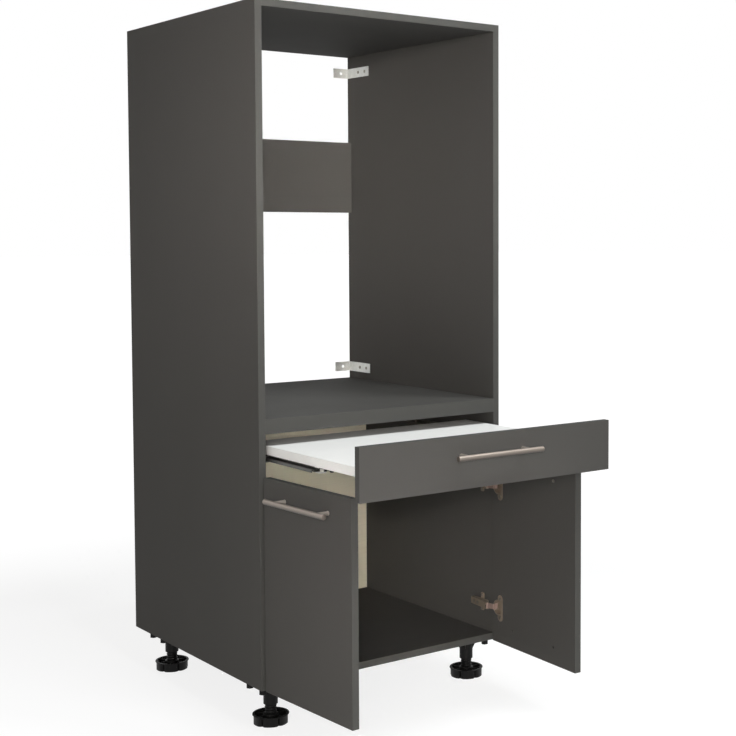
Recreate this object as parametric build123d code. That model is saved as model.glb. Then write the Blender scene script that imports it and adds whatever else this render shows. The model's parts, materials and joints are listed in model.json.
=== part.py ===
from build123d import *
import cmath
import math
import os

# Tall cabinet for a washing machine: two doors below, a pull-out shelf above them, and an
# open bay on top. X runs across, with zero in the middle, Y runs from the carcass's front
# edge to its back, and Z is measured from the carcass's underside. At the end everything is
# moved so that the origin is on the floor, under the middle of the whole outline.

# Carcass
WIDTH = 650
DEPTH = 648
HEIGHT = 1480
BOARD = 16
APPLIANCE_FLOOR = 32
FLOOR_OVER_FRONT = 12
BOTTOM_SETBACK = 28
RAIL_DROP = 248
RAIL_HEIGHT = 190
PIPE_SPACE = 82
BACK_BOARD = 4
GROOVE_DEPTH = 6
GROOVE_CLEARANCE = 0.1
FOOT_HEIGHT = 95

# Fronts
OUTER_REVEAL = 1.5
FRONT_GAP = 3
DOOR_HEIGHT = 464
SHELF_FRONT_HEIGHT = 109
DOOR_OPEN = 87
OPEN_EDGE_IN = 7
OPEN_EDGE_FORWARD = 6.8

# Pull-out shelf
PULL = 375
SHELF_BOARD = 19
SHELF_RISE = 42
SHELF_SIDE_GAP = 12
SHELF_DEPTH = 473

# Bar handles
HANDLE_LENGTH = 220
HANDLE_SPACING = 160
HANDLE_BAR_RADIUS = 6
HANDLE_REACH = 30
HANDLE_DROP = 40
POST_RADIUS = 5
HANDLE_HOLE_RADIUS = 2.5
HANDLE_SCREW_RADIUS = 2
HANDLE_SCREW_HEAD_RADIUS = 4
HANDLE_SCREW_HEAD = 2
POST_SCREW_DEPTH = 14
SPARE_HOLE_RADIUS = 3
SPARE_HOLE_DEPTH = 12

# Slides: sections measured from the side panel's face and from the rail's middle height
SHEET = 1.2
RAIL_LENGTH = 400
RAIL_SETBACK = 5
RAIL_SCREW_SHARES = (0.08, 0.42, 0.8)
CABINET_RAIL_HEIGHT = 12
CABINET_RAIL_WIDTH = 11
CABINET_RAIL_DROP = 2.4
CABINET_LIP = 2.6
SHELF_RAIL_HEIGHT = 12.4
SHELF_RAIL_START = 15.5
SHELF_RAIL_WIDTH = 10.5
SHELF_RAIL_LIP = 2.5
SHELF_FLANGE_END = 30
SHELF_RAIL_FRONT = 193
SHELF_RAIL_BACK = 471
MIDDLE_FLANGE_SHARE = 0.45
GLIDE_GAP = 1.5
RUNNING_GAP = 0.3
GLIDE_LENGTH = 60
GLIDE_WIDTH = 4.4
CLIP_LENGTH = 46
CLIP_LEVER_SHARE = 0.62
CLIP_LEVER_HEIGHT = 6
CLIP_WIDTH = 18

# Concealed hinges
HINGE_FROM_END = 85
CUP_RADIUS = 17.5
CUP_DEPTH = 11.5
CUP_WALL = 1
CUP_CENTRE = 22.5
CUP_FLANGE = 1.2
CUP_SCREW_SPACING = 45
CUP_SCREW_SETBACK = 9.5
CUP_WING_RADIUS = 9.5
CUP_PIN_IN = 10
CUP_PIN_DEPTH = 3.5
LINK_SHARE = -0.36
LINK_SHEET = 2
LINK_WIDTH = 12.6
LINK_KNEE = 8.5
LINK_KNEE_ANGLE = 90
EYE_RADIUS = 2.6
PIN_RADIUS = 1.5
PIN_CLEARANCE = 0.05
ARM_SHEET = 1.2
ARM_WIDTH = 16
ARM_TIP_RADIUS = 4.2
ARM_BACK = 73
ARM_CHEEK_FRONT = 26
ARM_HEIGHT = 13.5
PLATE_THICK = 2
PLATE_BLOCK = 3.2
PLATE_CENTRE = 42
PLATE_FRONT = 20
PLATE_WING = 22
PLATE_WING_WIDTH = 12
PLATE_SCREW_SPACING = 32

# Wall brackets
BRACKET_WIDTH = 25
BRACKET_SHEET = 2
BRACKET_SIDE_LEG = 105
BRACKET_BACK_LEG = 46
BRACKET_BEND = 4
BRACKET_HOLE_RADIUS = 4
BRACKET_HOLE_IN = 22
BRACKET_RISE = 32
BRACKET_DROP = 60
BRACKET_SCREWS_BACK = (56, 88)

# Wood screws
SCREW_RADIUS = 2
SCREW_HEAD_RADIUS = 4
SCREW_HEAD = 1.8
SCREW_LENGTH = 13
SCREW_SIDES = 12

# Feet
FOOT_IN = 55
FOOT_FRONT = 60
FOOT_BACK = 560
DISC_RADIUS = 40.5
DISC_BASE = 4
DISC_HEIGHT = 21
DISC_HUB_RADIUS = 17
DISC_LIP = 2
DISC_WALL = 3
RIB_COUNT = 6
RIB_THICK = 2.4
NOTCH_WIDTH = 9
NOTCH_DEPTH = 2.6
STEM_RADIUS = 13.25
STEM_GROOVE = 1.2
STEM_PITCH = 6
STEM_TOP = 20
STEM_CLEARANCE = 0.1
SOCKET_RADIUS = 16
SOCKET_BOTTOM = 52
SOCKET_PLATE = 3
SOCKET_PLATE_RADIUS = 30
SOCKET_ARM = 8
SOCKET_ARM_HEIGHT = 9
GUSSET_REACH = 12
GUSSET_SHARE = 0.6
GUSSET_COUNT = 4
LUG_RADIUS = 8.5
LUG_SIDES = 6
LUG_HEIGHT = 18
LUG_IN = 20
LUG_SPACING = 58

# One overrun for every cut that must break through a face
OVERRUN = 1
FULL_TURN = 360

HALF = WIDTH / 2
INSIDE = HALF - BOARD
DOOR_WIDTH = HALF - OUTER_REVEAL - FRONT_GAP / 2
DOOR_EDGE = -HALF + OUTER_REVEAL
FRONT_FACE = -(FRONT_GAP + BOARD)
SHELF_FRONT_BOTTOM = DOOR_HEIGHT + FRONT_GAP
SHELF_FRONT_TOP = SHELF_FRONT_BOTTOM + SHELF_FRONT_HEIGHT
SHELF_BOTTOM = SHELF_FRONT_BOTTOM + SHELF_RISE
SHELF_TOP = SHELF_BOTTOM + SHELF_BOARD
APPLIANCE_FLOOR_TOP = SHELF_FRONT_TOP + FLOOR_OVER_FRONT
BOTTOM_DEPTH = DEPTH - BOTTOM_SETBACK
RAIL_TOP = HEIGHT - RAIL_DROP
BRACKET_HEIGHTS = (APPLIANCE_FLOOR_TOP + BRACKET_RISE, HEIGHT - BRACKET_DROP)
BACK_PANEL_FACE = DEPTH - PIPE_SPACE
HINGE_HEIGHTS = (HINGE_FROM_END, DOOR_HEIGHT - HINGE_FROM_END)


def block(xs, ys, zs):
    """Box between two values on each axis."""
    size = [max(span) - min(span) for span in (xs, ys, zs)]
    middle = [(max(span) + min(span)) / 2 for span in (xs, ys, zs)]
    return Pos(*middle) * Box(*size)


def rod(radius, start, direction, length):
    """Round bar from a point, along a direction."""
    return Solid.make_cylinder(radius, length, Plane(origin=start, z_dir=direction))


def stud(radius, start, direction, length, sides=SCREW_SIDES):
    """Bar with flat sides from a point, along a direction."""
    return extrude(Plane(origin=start, z_dir=direction) * RegularPolygon(radius, sides), length)


def fused(shapes):
    """One shape from several that touch or overlap."""
    first, *rest = shapes
    return first.fuse(*rest) if rest else first


def cut_all(shape, tools):
    """The shape without any of the tools, taken away one after another."""
    for tool in tools:
        shape = shape.cut(tool)
    return shape


def both_sides(shape):
    """A piece on the left with its mirror image on the right."""
    return [shape, shape.mirror(Plane.YZ)]


def group(shapes):
    """Separate solids kept together as one sub-part."""
    return Compound([solid for shape in shapes for solid in shape.solids()])


def screw(head, direction, length=SCREW_LENGTH):
    """Pan-headed screw: the head stands on the face at the point, the shank goes along the direction."""
    back = tuple(-value for value in direction)
    shank = stud(SCREW_RADIUS, head, direction, length)
    cap = stud(SCREW_HEAD_RADIUS, head, back, SCREW_HEAD)
    return fused([cap, shank])


def screw_hole(head, direction, length=SCREW_LENGTH):
    """The hole that a screw leaves in what it holds and passes through."""
    start = tuple(point - OVERRUN * value for point, value in zip(head, direction))
    return stud(SCREW_RADIUS, start, direction, length + OVERRUN)


# Doors are drawn closed and then swung open about the point that their outer edge moves by.
CLOSED_CORNER = complex(DOOR_EDGE, FRONT_FACE)
OPEN_CORNER = complex(-HALF + OPEN_EDGE_IN, -OPEN_EDGE_FORWARD)
OPEN_TURN = cmath.exp(-1j * math.radians(DOOR_OPEN))
LINK_TURN = cmath.exp(-1j * math.radians(DOOR_OPEN * LINK_SHARE))


def opened_point(point):
    """Where a point of the closed left door lies when the door is open."""
    return OPEN_CORNER + OPEN_TURN * (point - CLOSED_CORNER)


CUP_PIN_CLOSED = complex(DOOR_EDGE + CUP_PIN_IN, -FRONT_GAP - CUP_PIN_DEPTH)
CUP_PIN_OPEN = opened_point(CUP_PIN_CLOSED)
ARM_PIN = (CUP_PIN_OPEN - LINK_TURN * CUP_PIN_CLOSED) / (1 - LINK_TURN)


def opened(shape):
    """The left door's closed piece, moved to where it stands open."""
    to_corner = Pos(-CLOSED_CORNER.real, -CLOSED_CORNER.imag, 0)
    return Pos(OPEN_CORNER.real, OPEN_CORNER.imag, 0) * Rot(0, 0, -DOOR_OPEN) * to_corner * shape


def pulled(shape):
    """A closed shelf piece, moved to where the shelf stands pulled out."""
    return Pos(0, -PULL, 0) * shape


# Carcass

def bracket_screws():
    """Screws of the left brackets, into the side panel."""
    return [((-INSIDE + BRACKET_SHEET, DEPTH - back, z), (-1, 0, 0))
            for z in BRACKET_HEIGHTS for back in BRACKET_SCREWS_BACK]


def plate_screws():
    """Screws of the left hinge plates, into the side panel."""
    return [((-INSIDE + PLATE_THICK, PLATE_CENTRE, z + side * PLATE_SCREW_SPACING / 2), (-1, 0, 0))
            for z in HINGE_HEIGHTS for side in (-1, 1)]


def cabinet_rail_middle():
    """Height of the middle of the cabinet rails."""
    return SHELF_BOTTOM - CABINET_RAIL_DROP - CABINET_RAIL_HEIGHT / 2


def slide_screws():
    """Screws of the left cabinet rail, inside its channel."""
    z = cabinet_rail_middle()
    places = [RAIL_SETBACK + RAIL_LENGTH * share for share in RAIL_SCREW_SHARES]
    return [((-INSIDE + SHEET, y, z), (-1, 0, 0)) for y in places]


def side_panel():
    """Left side panel with its groove and the holes of what is screwed to it."""
    panel = block((-HALF, -INSIDE), (0, DEPTH), (0, HEIGHT))
    groove = block((-INSIDE - GROOVE_DEPTH - GROOVE_CLEARANCE, -INSIDE + OVERRUN),
                   (BACK_PANEL_FACE - GROOVE_CLEARANCE, BACK_PANEL_FACE + BACK_BOARD + GROOVE_CLEARANCE),
                   (BOARD - GROOVE_DEPTH, APPLIANCE_FLOOR_TOP - APPLIANCE_FLOOR))
    screws = bracket_screws() + plate_screws() + slide_screws()
    return cut_all(panel, [groove] + [screw_hole(*place) for place in screws])


def top_panel():
    return block((-INSIDE, INSIDE), (0, DEPTH), (HEIGHT - BOARD, HEIGHT))


def appliance_floor():
    """Thick board that carries the washing machine."""
    return block((-INSIDE, INSIDE), (0, DEPTH),
                 (APPLIANCE_FLOOR_TOP - APPLIANCE_FLOOR, APPLIANCE_FLOOR_TOP))


def bottom_panel():
    """Cupboard floor, grooved for the back panel and stopped short of the wall for the pipes."""
    panel = block((-INSIDE, INSIDE), (0, BOTTOM_DEPTH), (0, BOARD))
    groove = block((-INSIDE - OVERRUN, INSIDE + OVERRUN),
                   (BACK_PANEL_FACE - GROOVE_CLEARANCE, BACK_PANEL_FACE + BACK_BOARD + GROOVE_CLEARANCE),
                   (BOARD - GROOVE_DEPTH - GROOVE_CLEARANCE, BOARD + OVERRUN))
    holes = [screw_hole(*place) for place in foot_screws()]
    return cut_all(panel, [groove] + [side for hole in holes for side in both_sides(hole)])


def rear_rail():
    return block((-INSIDE, INSIDE), (DEPTH - BOARD, DEPTH), (RAIL_TOP - RAIL_HEIGHT, RAIL_TOP))


def lower_back():
    """Thin back panel that stands in the grooves, with the pipe space behind it."""
    reach = INSIDE + GROOVE_DEPTH
    return block((-reach, reach), (BACK_PANEL_FACE, BACK_PANEL_FACE + BACK_BOARD),
                 (BOARD - GROOVE_DEPTH, APPLIANCE_FLOOR_TOP - APPLIANCE_FLOOR))


def wall_bracket(z):
    """Left bent bracket: a long leg on the side panel, and a short one against the wall."""
    corner = (-INSIDE, DEPTH)
    outer = Polyline((corner[0], corner[1] - BRACKET_SIDE_LEG), corner,
                     (corner[0] + BRACKET_BACK_LEG, corner[1]))
    inner = Polyline((corner[0] + BRACKET_BACK_LEG, corner[1] - BRACKET_SHEET),
                     (corner[0] + BRACKET_SHEET, corner[1] - BRACKET_SHEET),
                     (corner[0] + BRACKET_SHEET, corner[1] - BRACKET_SIDE_LEG))
    ends = [Line(outer @ 1, inner @ 0), Line(inner @ 1, outer @ 0)]
    profile = make_face(outer.edges() + inner.edges() + ends)
    plate = extrude(profile, BRACKET_WIDTH)
    plate = Pos(0, 0, z - BRACKET_WIDTH / 2) * plate
    upright = [edge for edge in plate.edges().filter_by(Axis.Z)
               if abs(edge.center().Y - DEPTH) < BRACKET_SHEET * 2]
    inside = [edge for edge in upright
              if abs(edge.center().X - corner[0] - BRACKET_SHEET) < BRACKET_SHEET / 2]
    plate = fillet(inside, BRACKET_BEND - BRACKET_SHEET)
    wall_hole = rod(BRACKET_HOLE_RADIUS, (corner[0] + BRACKET_HOLE_IN, DEPTH + OVERRUN, z), (0, -1, 0),
                    BRACKET_SHEET + 2 * OVERRUN)
    holes = [screw_hole(place, direction) for place, direction in bracket_screws() if place[2] == z]
    return cut_all(plate, [wall_hole] + holes)


# Feet

def foot_screws():
    """Screws of the left feet, up through their lugs and into the bottom panel."""
    return [((-HALF + LUG_IN, y + side * LUG_SPACING / 2, -LUG_HEIGHT), (0, 0, 1), LUG_HEIGHT + SCREW_LENGTH)
            for y in (FOOT_FRONT, FOOT_BACK) for side in (-1, 1)]


def foot_socket(y):
    """Moulded plate under the carcass, with its tube, gussets and screw lugs."""
    x = -HALF + FOOT_IN
    lugs = [(-HALF + LUG_IN, y + side * LUG_SPACING / 2) for side in (-1, 1)]
    lug_outlines = [Pos(*place) * RegularPolygon(LUG_RADIUS, LUG_SIDES) for place in lugs]
    outline = make_hull((Pos(x, y) * Circle(SOCKET_PLATE_RADIUS)).edges()
                        + [edge for lug in lug_outlines for edge in lug.edges()])
    plate = extrude(outline, -SOCKET_PLATE)
    bosses = [stud(LUG_RADIUS, (*place, 0), (0, 0, -1), LUG_HEIGHT, LUG_SIDES) for place in lugs]
    tube = rod(SOCKET_RADIUS, (x, y, 0), (0, 0, -1), SOCKET_BOTTOM)
    arms = [socket_arm(complex(x, y), complex(*place)) for place in lugs]
    gussets = [gusset(x, y, FULL_TURN * (step + 0.5) / GUSSET_COUNT) for step in range(GUSSET_COUNT)]
    holes = [screw_hole((*place, -LUG_HEIGHT), (0, 0, 1), LUG_HEIGHT + OVERRUN) for place in lugs]
    bore = rod(STEM_RADIUS + STEM_CLEARANCE, (x, y, -SOCKET_PLATE), (0, 0, -1), SOCKET_BOTTOM)
    return cut_all(fused([plate, tube] + bosses + arms + gussets), holes + [bore])


def socket_arm(tube, lug):
    """Deep rib from the tube to one lug."""
    middle = (tube + lug) / 2
    turn = math.degrees(cmath.phase(lug - tube))
    bar = block((-abs(lug - tube) / 2, abs(lug - tube) / 2), (-SOCKET_ARM / 2, SOCKET_ARM / 2),
                (-SOCKET_ARM_HEIGHT, 0))
    return Pos(middle.real, middle.imag, 0) * Rot(0, 0, turn) * bar


def gusset(x, y, turn):
    """Thin triangle between the socket's plate and its tube."""
    reach = SOCKET_RADIUS + GUSSET_REACH
    root = SOCKET_RADIUS - OVERRUN
    outline = Polyline((root, 0), (reach, 0), (reach, -SOCKET_PLATE),
                       (root, -SOCKET_BOTTOM * GUSSET_SHARE), close=True)
    plate = extrude(Plane.XZ * make_face(outline), RIB_THICK / 2, both=True)
    return Pos(x, y, 0) * Rot(0, 0, turn) * plate


def foot(y):
    """Levelling foot: a threaded stem in a hollow round foot with ribs, a lip and notches."""
    floor = -FOOT_HEIGHT
    rim_top = floor + DISC_HEIGHT
    wall = DISC_RADIUS - DISC_LIP
    drum = rod(wall, (0, 0, floor), (0, 0, 1), DISC_HEIGHT)
    lip = rod(DISC_RADIUS, (0, 0, rim_top - DISC_LIP), (0, 0, 1), DISC_LIP)
    hollow = rod(wall - DISC_WALL, (0, 0, floor + DISC_BASE), (0, 0, 1), DISC_HEIGHT)
    notches = [foot_notch(floor, wall, FULL_TURN * (step + 0.5) / RIB_COUNT) for step in range(RIB_COUNT)]
    shell = cut_all(fused([drum, lip]), [hollow] + notches)
    hub = rod(DISC_HUB_RADIUS, (0, 0, floor), (0, 0, 1), DISC_HEIGHT)
    ribs = [disc_rib(floor, FULL_TURN * step / RIB_COUNT) for step in range(RIB_COUNT)]
    return Pos(-HALF + FOOT_IN, y, 0) * fused([shell, hub, stem_profile(rim_top)] + ribs)


def foot_notch(floor, wall, turn):
    """Wedge that cuts one upright notch between two lobes of the foot, up to its lip."""
    outline = Polyline((wall - NOTCH_DEPTH, 0), (wall + OVERRUN, NOTCH_WIDTH / 2),
                       (wall + OVERRUN, -NOTCH_WIDTH / 2), close=True)
    wedge = extrude(make_face(outline), DISC_HEIGHT - DISC_LIP + OVERRUN)
    return Rot(0, 0, turn) * Pos(0, 0, floor - OVERRUN) * wedge


def disc_rib(floor, turn):
    """Rib from the hub to the foot's wall."""
    spread = (DISC_HUB_RADIUS - OVERRUN, DISC_RADIUS - DISC_LIP - DISC_WALL / 2)
    rib = block(spread, (-RIB_THICK / 2, RIB_THICK / 2),
                (floor + DISC_BASE / 2, floor + DISC_HEIGHT - DISC_LIP))
    return Rot(0, 0, turn) * rib


def stem_profile(low):
    """Stem turned with grooves where it shows below its tube, and plain inside it."""
    count = int((-SOCKET_BOTTOM - low) / STEM_PITCH)
    pitch = (-SOCKET_BOTTOM - low) / count
    points = [(0, low)]
    for step in range(count):
        z = low + pitch * step
        points += [(STEM_RADIUS - STEM_GROOVE, z), (STEM_RADIUS, z + pitch / 2)]
    points += [(STEM_RADIUS - STEM_GROOVE, -SOCKET_BOTTOM), (STEM_RADIUS, -SOCKET_BOTTOM + STEM_GROOVE),
               (STEM_RADIUS, -STEM_TOP), (0, -STEM_TOP)]
    return revolve(Plane.XZ * make_face(Polyline(*points, close=True)), Axis.Z)


# Pull-out shelf

def handle(x, y, z):
    """Bar handle on a face at y that looks to the front: the bar and its two posts."""
    axis = y - HANDLE_REACH
    bar = rod(HANDLE_BAR_RADIUS, (x - HANDLE_LENGTH / 2, axis, z), (1, 0, 0), HANDLE_LENGTH)
    posts = [rod(POST_RADIUS, (x + side * HANDLE_SPACING / 2, y, z), (0, -1, 0), HANDLE_REACH).cut(bar)
             for side in (-1, 1)]
    holes = [stud(HANDLE_SCREW_RADIUS, (x + side * HANDLE_SPACING / 2, y + OVERRUN, z), (0, -1, 0),
                  POST_SCREW_DEPTH + OVERRUN) for side in (-1, 1)]
    posts = [solid for post in posts for solid in post.solids()]
    return bar, group([cut_all(post, holes) for post in posts])


def handle_screws(x, y, z):
    """Machine screws from the back of a front, through it and into the handle's posts."""
    inside = y + BOARD
    places = [(x + side * HANDLE_SPACING / 2, inside, z) for side in (-1, 1)]
    return group([fused([stud(HANDLE_SCREW_HEAD_RADIUS, place, (0, 1, 0), HANDLE_SCREW_HEAD),
                         stud(HANDLE_SCREW_RADIUS, place, (0, -1, 0), BOARD + POST_SCREW_DEPTH)])
                  for place in places])


def handle_holes(x, y, z):
    """Clearance holes for the handle's screws."""
    return [rod(HANDLE_HOLE_RADIUS, (x + side * HANDLE_SPACING / 2, y - OVERRUN, z), (0, 1, 0),
                BOARD + 2 * OVERRUN) for side in (-1, 1)]


def shelf_front():
    reach = HALF - OUTER_REVEAL
    panel = block((-reach, reach), (FRONT_FACE, -FRONT_GAP), (SHELF_FRONT_BOTTOM, SHELF_FRONT_TOP))
    return cut_all(panel, handle_holes(0, FRONT_FACE, SHELF_FRONT_TOP - HANDLE_DROP))


def shelf_board():
    reach = INSIDE - SHELF_SIDE_GAP
    return block((-reach, reach), (-FRONT_GAP, SHELF_DEPTH - FRONT_GAP), (SHELF_BOTTOM, SHELF_TOP))


def section(points, start, end):
    """Sheet section across the width and height, drawn from the left panel's face, run along the depth."""
    corners = [(-INSIDE + u, z) for u, z in points]
    face = make_face(Polyline(*corners, close=True))
    return Pos(0, start, 0) * extrude(Plane.XZ * face, start - end)


def cabinet_rail():
    """Channel on the side panel with its lips turned in."""
    z = cabinet_rail_middle()
    half = CABINET_RAIL_HEIGHT / 2
    wide = CABINET_RAIL_WIDTH
    upper = [(SHEET, z), (SHEET, z + half - SHEET), (wide - SHEET, z + half - SHEET),
             (wide - SHEET, z + half - CABINET_LIP), (wide, z + half - CABINET_LIP),
             (wide, z + half), (0, z + half)]
    lower = [(u, 2 * z - height) for u, height in reversed(upper[1:])]
    rail = section(upper + lower, RAIL_SETBACK, RAIL_SETBACK + RAIL_LENGTH)
    return cut_all(rail, [screw_hole(*place) for place in slide_screws()])


def shelf_rail_inside():
    """Lowest and highest inner faces of the shelf rail."""
    return SHELF_BOTTOM - SHELF_RAIL_HEIGHT + SHEET, SHELF_BOTTOM - SHEET


def shelf_rail():
    """Channel under the board, open towards the side panel, with a flange for its screws."""
    low, high = shelf_rail_inside()
    left = SHELF_RAIL_START
    right = left + SHELF_RAIL_WIDTH
    points = [(left - SHEET, high), (left - SHEET, high + SHEET), (SHELF_FLANGE_END, high + SHEET),
              (SHELF_FLANGE_END, high), (right, high), (right, low - SHEET), (left, low - SHEET),
              (left, low - SHEET + SHELF_RAIL_LIP), (left + SHEET, low - SHEET + SHELF_RAIL_LIP),
              (left + SHEET, low), (right - SHEET, low), (right - SHEET, high), (left + SHEET, high),
              (left + SHEET, high - SHELF_RAIL_LIP + SHEET), (left, high - SHELF_RAIL_LIP + SHEET),
              (left, high)]
    return section(points, SHELF_RAIL_FRONT, SHELF_RAIL_BACK)


def middle_rail_levels():
    """Flange ends and webs of the middle rail: in the cabinet rail, and in the shelf rail."""
    z = cabinet_rail_middle()
    half = CABINET_RAIL_HEIGHT / 2 - SHEET - GLIDE_GAP
    low, high = shelf_rail_inside()
    return (z - half, z + half, z), (low + GLIDE_GAP, high - GLIDE_GAP, (low + high) / 2)


def middle_rail():
    """Stepped section with one flange in each of the outer channels."""
    (a_low, a_high, a_web), (b_low, b_high, b_web) = middle_rail_levels()
    a_left = CABINET_RAIL_WIDTH * MIDDLE_FLANGE_SHARE
    step = CABINET_RAIL_WIDTH + SHEET
    b_left = SHELF_RAIL_START + SHELF_RAIL_WIDTH * MIDDLE_FLANGE_SHARE - SHEET / 2
    half = SHEET / 2
    points = [(a_left, a_low), (a_left, a_high), (a_left + SHEET, a_high), (a_left + SHEET, a_web + half),
              (step, a_web + half), (step, b_web + half), (b_left, b_web + half), (b_left, b_high),
              (b_left + SHEET, b_high), (b_left + SHEET, b_low), (b_left, b_low), (b_left, b_web - half),
              (step + SHEET, b_web - half), (step + SHEET, a_web - half), (a_left + SHEET, a_web - half),
              (a_left + SHEET, a_low)]
    return section(points, RAIL_SETBACK, RAIL_SETBACK + RAIL_LENGTH)


def middle_glides():
    """Plastic strips on the flanges' edges, where the channels always cover them."""
    (a_low, a_high, _), (b_low, b_high, _) = middle_rail_levels()
    a_middle = CABINET_RAIL_WIDTH * MIDDLE_FLANGE_SHARE + SHEET / 2
    b_middle = SHELF_RAIL_START + SHELF_RAIL_WIDTH * MIDDLE_FLANGE_SHARE
    tall = GLIDE_GAP - RUNNING_GAP
    back = RAIL_SETBACK + RAIL_LENGTH
    cabinet_starts = (back - GLIDE_LENGTH, back - 3 * GLIDE_LENGTH)
    strips = [(a_middle, level, start) for level in ((a_low - tall, a_low), (a_high, a_high + tall))
              for start in cabinet_starts]
    strips += [(b_middle, level, SHELF_RAIL_FRONT + SHEET)
               for level in ((b_low - tall, b_low), (b_high, b_high + tall))]
    return group([block((-INSIDE + u - GLIDE_WIDTH / 2, -INSIDE + u + GLIDE_WIDTH / 2),
                        (start, start + GLIDE_LENGTH), level) for u, level, start in strips])


def shelf_clip():
    """Moulded clip in front of the shelf rail: a deep catch and a slim lever, open round the middle rail."""
    right = -INSIDE + SHELF_FLANGE_END
    left = right - CLIP_WIDTH
    front = SHELF_RAIL_FRONT - CLIP_LENGTH
    low = SHELF_BOTTOM - SHELF_RAIL_HEIGHT
    body = block((left, right), (front, SHELF_RAIL_FRONT), (low, SHELF_BOTTOM))
    body = chamfer(body.edges().filter_by(Axis.Y).group_by(Axis.Z)[0].sort_by(Axis.X)[-1:], SHELF_RAIL_LIP)
    path = block((left - OVERRUN, -INSIDE + SHELF_RAIL_START + SHELF_RAIL_WIDTH - SHEET),
                 (front - OVERRUN, SHELF_RAIL_FRONT + OVERRUN), shelf_rail_inside())
    step = block((left - OVERRUN, -INSIDE + CABINET_RAIL_WIDTH + 2 * SHEET + RUNNING_GAP),
                 (front - OVERRUN, SHELF_RAIL_FRONT + OVERRUN), (low - OVERRUN, SHELF_BOTTOM - SHEET))
    catch = front + CLIP_LENGTH * CLIP_LEVER_SHARE
    lever = block((left - OVERRUN, right + OVERRUN), (front - OVERRUN, catch),
                  (low - OVERRUN, SHELF_BOTTOM - CLIP_LEVER_HEIGHT))
    return cut_all(body, [path, step, lever])


# Doors, drawn closed

def cup_centre_x():
    return DOOR_EDGE + CUP_CENTRE


def cup_screw_places(z):
    """Screws of one cup's wings, into the closed left door."""
    x = cup_centre_x() + CUP_SCREW_SETBACK
    return [((x, -FRONT_GAP + CUP_FLANGE, z + side * CUP_SCREW_SPACING / 2), (0, -1, 0)) for side in (-1, 1)]


def door_screw_length():
    return BOARD - SCREW_LENGTH / 3


def door_middle():
    return DOOR_EDGE + DOOR_WIDTH / 2


def door():
    """Left door with its cup bores, handle holes and spare blind holes."""
    panel = block((DOOR_EDGE, DOOR_EDGE + DOOR_WIDTH), (FRONT_FACE, -FRONT_GAP), (0, DOOR_HEIGHT))
    bores = [rod(CUP_RADIUS, (cup_centre_x(), -FRONT_GAP + OVERRUN, z), (0, -1, 0), CUP_DEPTH + OVERRUN)
             for z in HINGE_HEIGHTS]
    screws = [screw_hole(place, direction, door_screw_length())
              for z in HINGE_HEIGHTS for place, direction in cup_screw_places(z)]
    places = [(door_middle() + side * HANDLE_SPACING / 2, -FRONT_GAP + OVERRUN, HANDLE_DROP)
              for side in (-1, 1)]
    spare = [rod(SPARE_HOLE_RADIUS, place, (0, -1, 0), SPARE_HOLE_DEPTH + OVERRUN) for place in places]
    handle_bores = handle_holes(door_middle(), FRONT_FACE, DOOR_HEIGHT - HANDLE_DROP)
    return cut_all(panel, bores + screws + spare + handle_bores)


def cup(z):
    """Drawn cup with its round rim, the strip across it for the screws, and two ears that hold the pin."""
    x = cup_centre_x()
    face = -FRONT_GAP
    wings = [(x + CUP_SCREW_SETBACK, z + side * CUP_SCREW_SPACING / 2) for side in (-1, 1)]
    strip = make_hull([edge for place in wings for edge in (Pos(*place) * Circle(CUP_WING_RADIUS)).edges()])
    rim = Pos(x, z) * Circle(CUP_RADIUS + CUP_FLANGE)
    flange = fused([Pos(0, face, 0) * extrude(Plane.XZ * outline, -CUP_FLANGE) for outline in (strip, rim)])
    shell = rod(CUP_RADIUS, (x, face, z), (0, -1, 0), CUP_DEPTH)
    hollow = rod(CUP_RADIUS - CUP_WALL, (x, face + CUP_FLANGE + OVERRUN, z), (0, -1, 0),
                 CUP_DEPTH - CUP_WALL + CUP_FLANGE + OVERRUN)
    body = cut_all(fused([flange, shell]), [hollow])
    pin_x = CUP_PIN_CLOSED.real
    pin_y = CUP_PIN_CLOSED.imag
    width = (pin_x - EYE_RADIUS, pin_x + EYE_RADIUS)
    depth = (face - CUP_DEPTH + CUP_WALL, pin_y + EYE_RADIUS)
    ears = [block(width, depth, (z + side * ear_inside(), z + side * (ear_inside() + LINK_SHEET)))
            for side in (-1, 1)]
    inside = rod(CUP_RADIUS - CUP_WALL, (x, face, z), (0, -1, 0), CUP_DEPTH)
    ears = [solid for ear in ears for solid in ear.intersect(inside).solids()]
    holes = [screw_hole(place, direction, door_screw_length()) for place, direction in cup_screw_places(z)]
    pin_hole = rod(PIN_RADIUS, (pin_x, pin_y, z - cup_pin_half()), (0, 0, 1), 2 * cup_pin_half())
    return cut_all(fused([body] + ears), holes + [pin_hole])


def ear_inside():
    """Half the width between the ears, with room for the link."""
    return LINK_WIDTH / 2 + RUNNING_GAP


def cup_pin_half():
    return ear_inside() + LINK_SHEET


def cup_pin(z):
    low = (CUP_PIN_CLOSED.real, CUP_PIN_CLOSED.imag, z - cup_pin_half())
    return rod(PIN_RADIUS, low, (0, 0, 1), 2 * cup_pin_half())


# Hinge hardware on the left side panel

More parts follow.
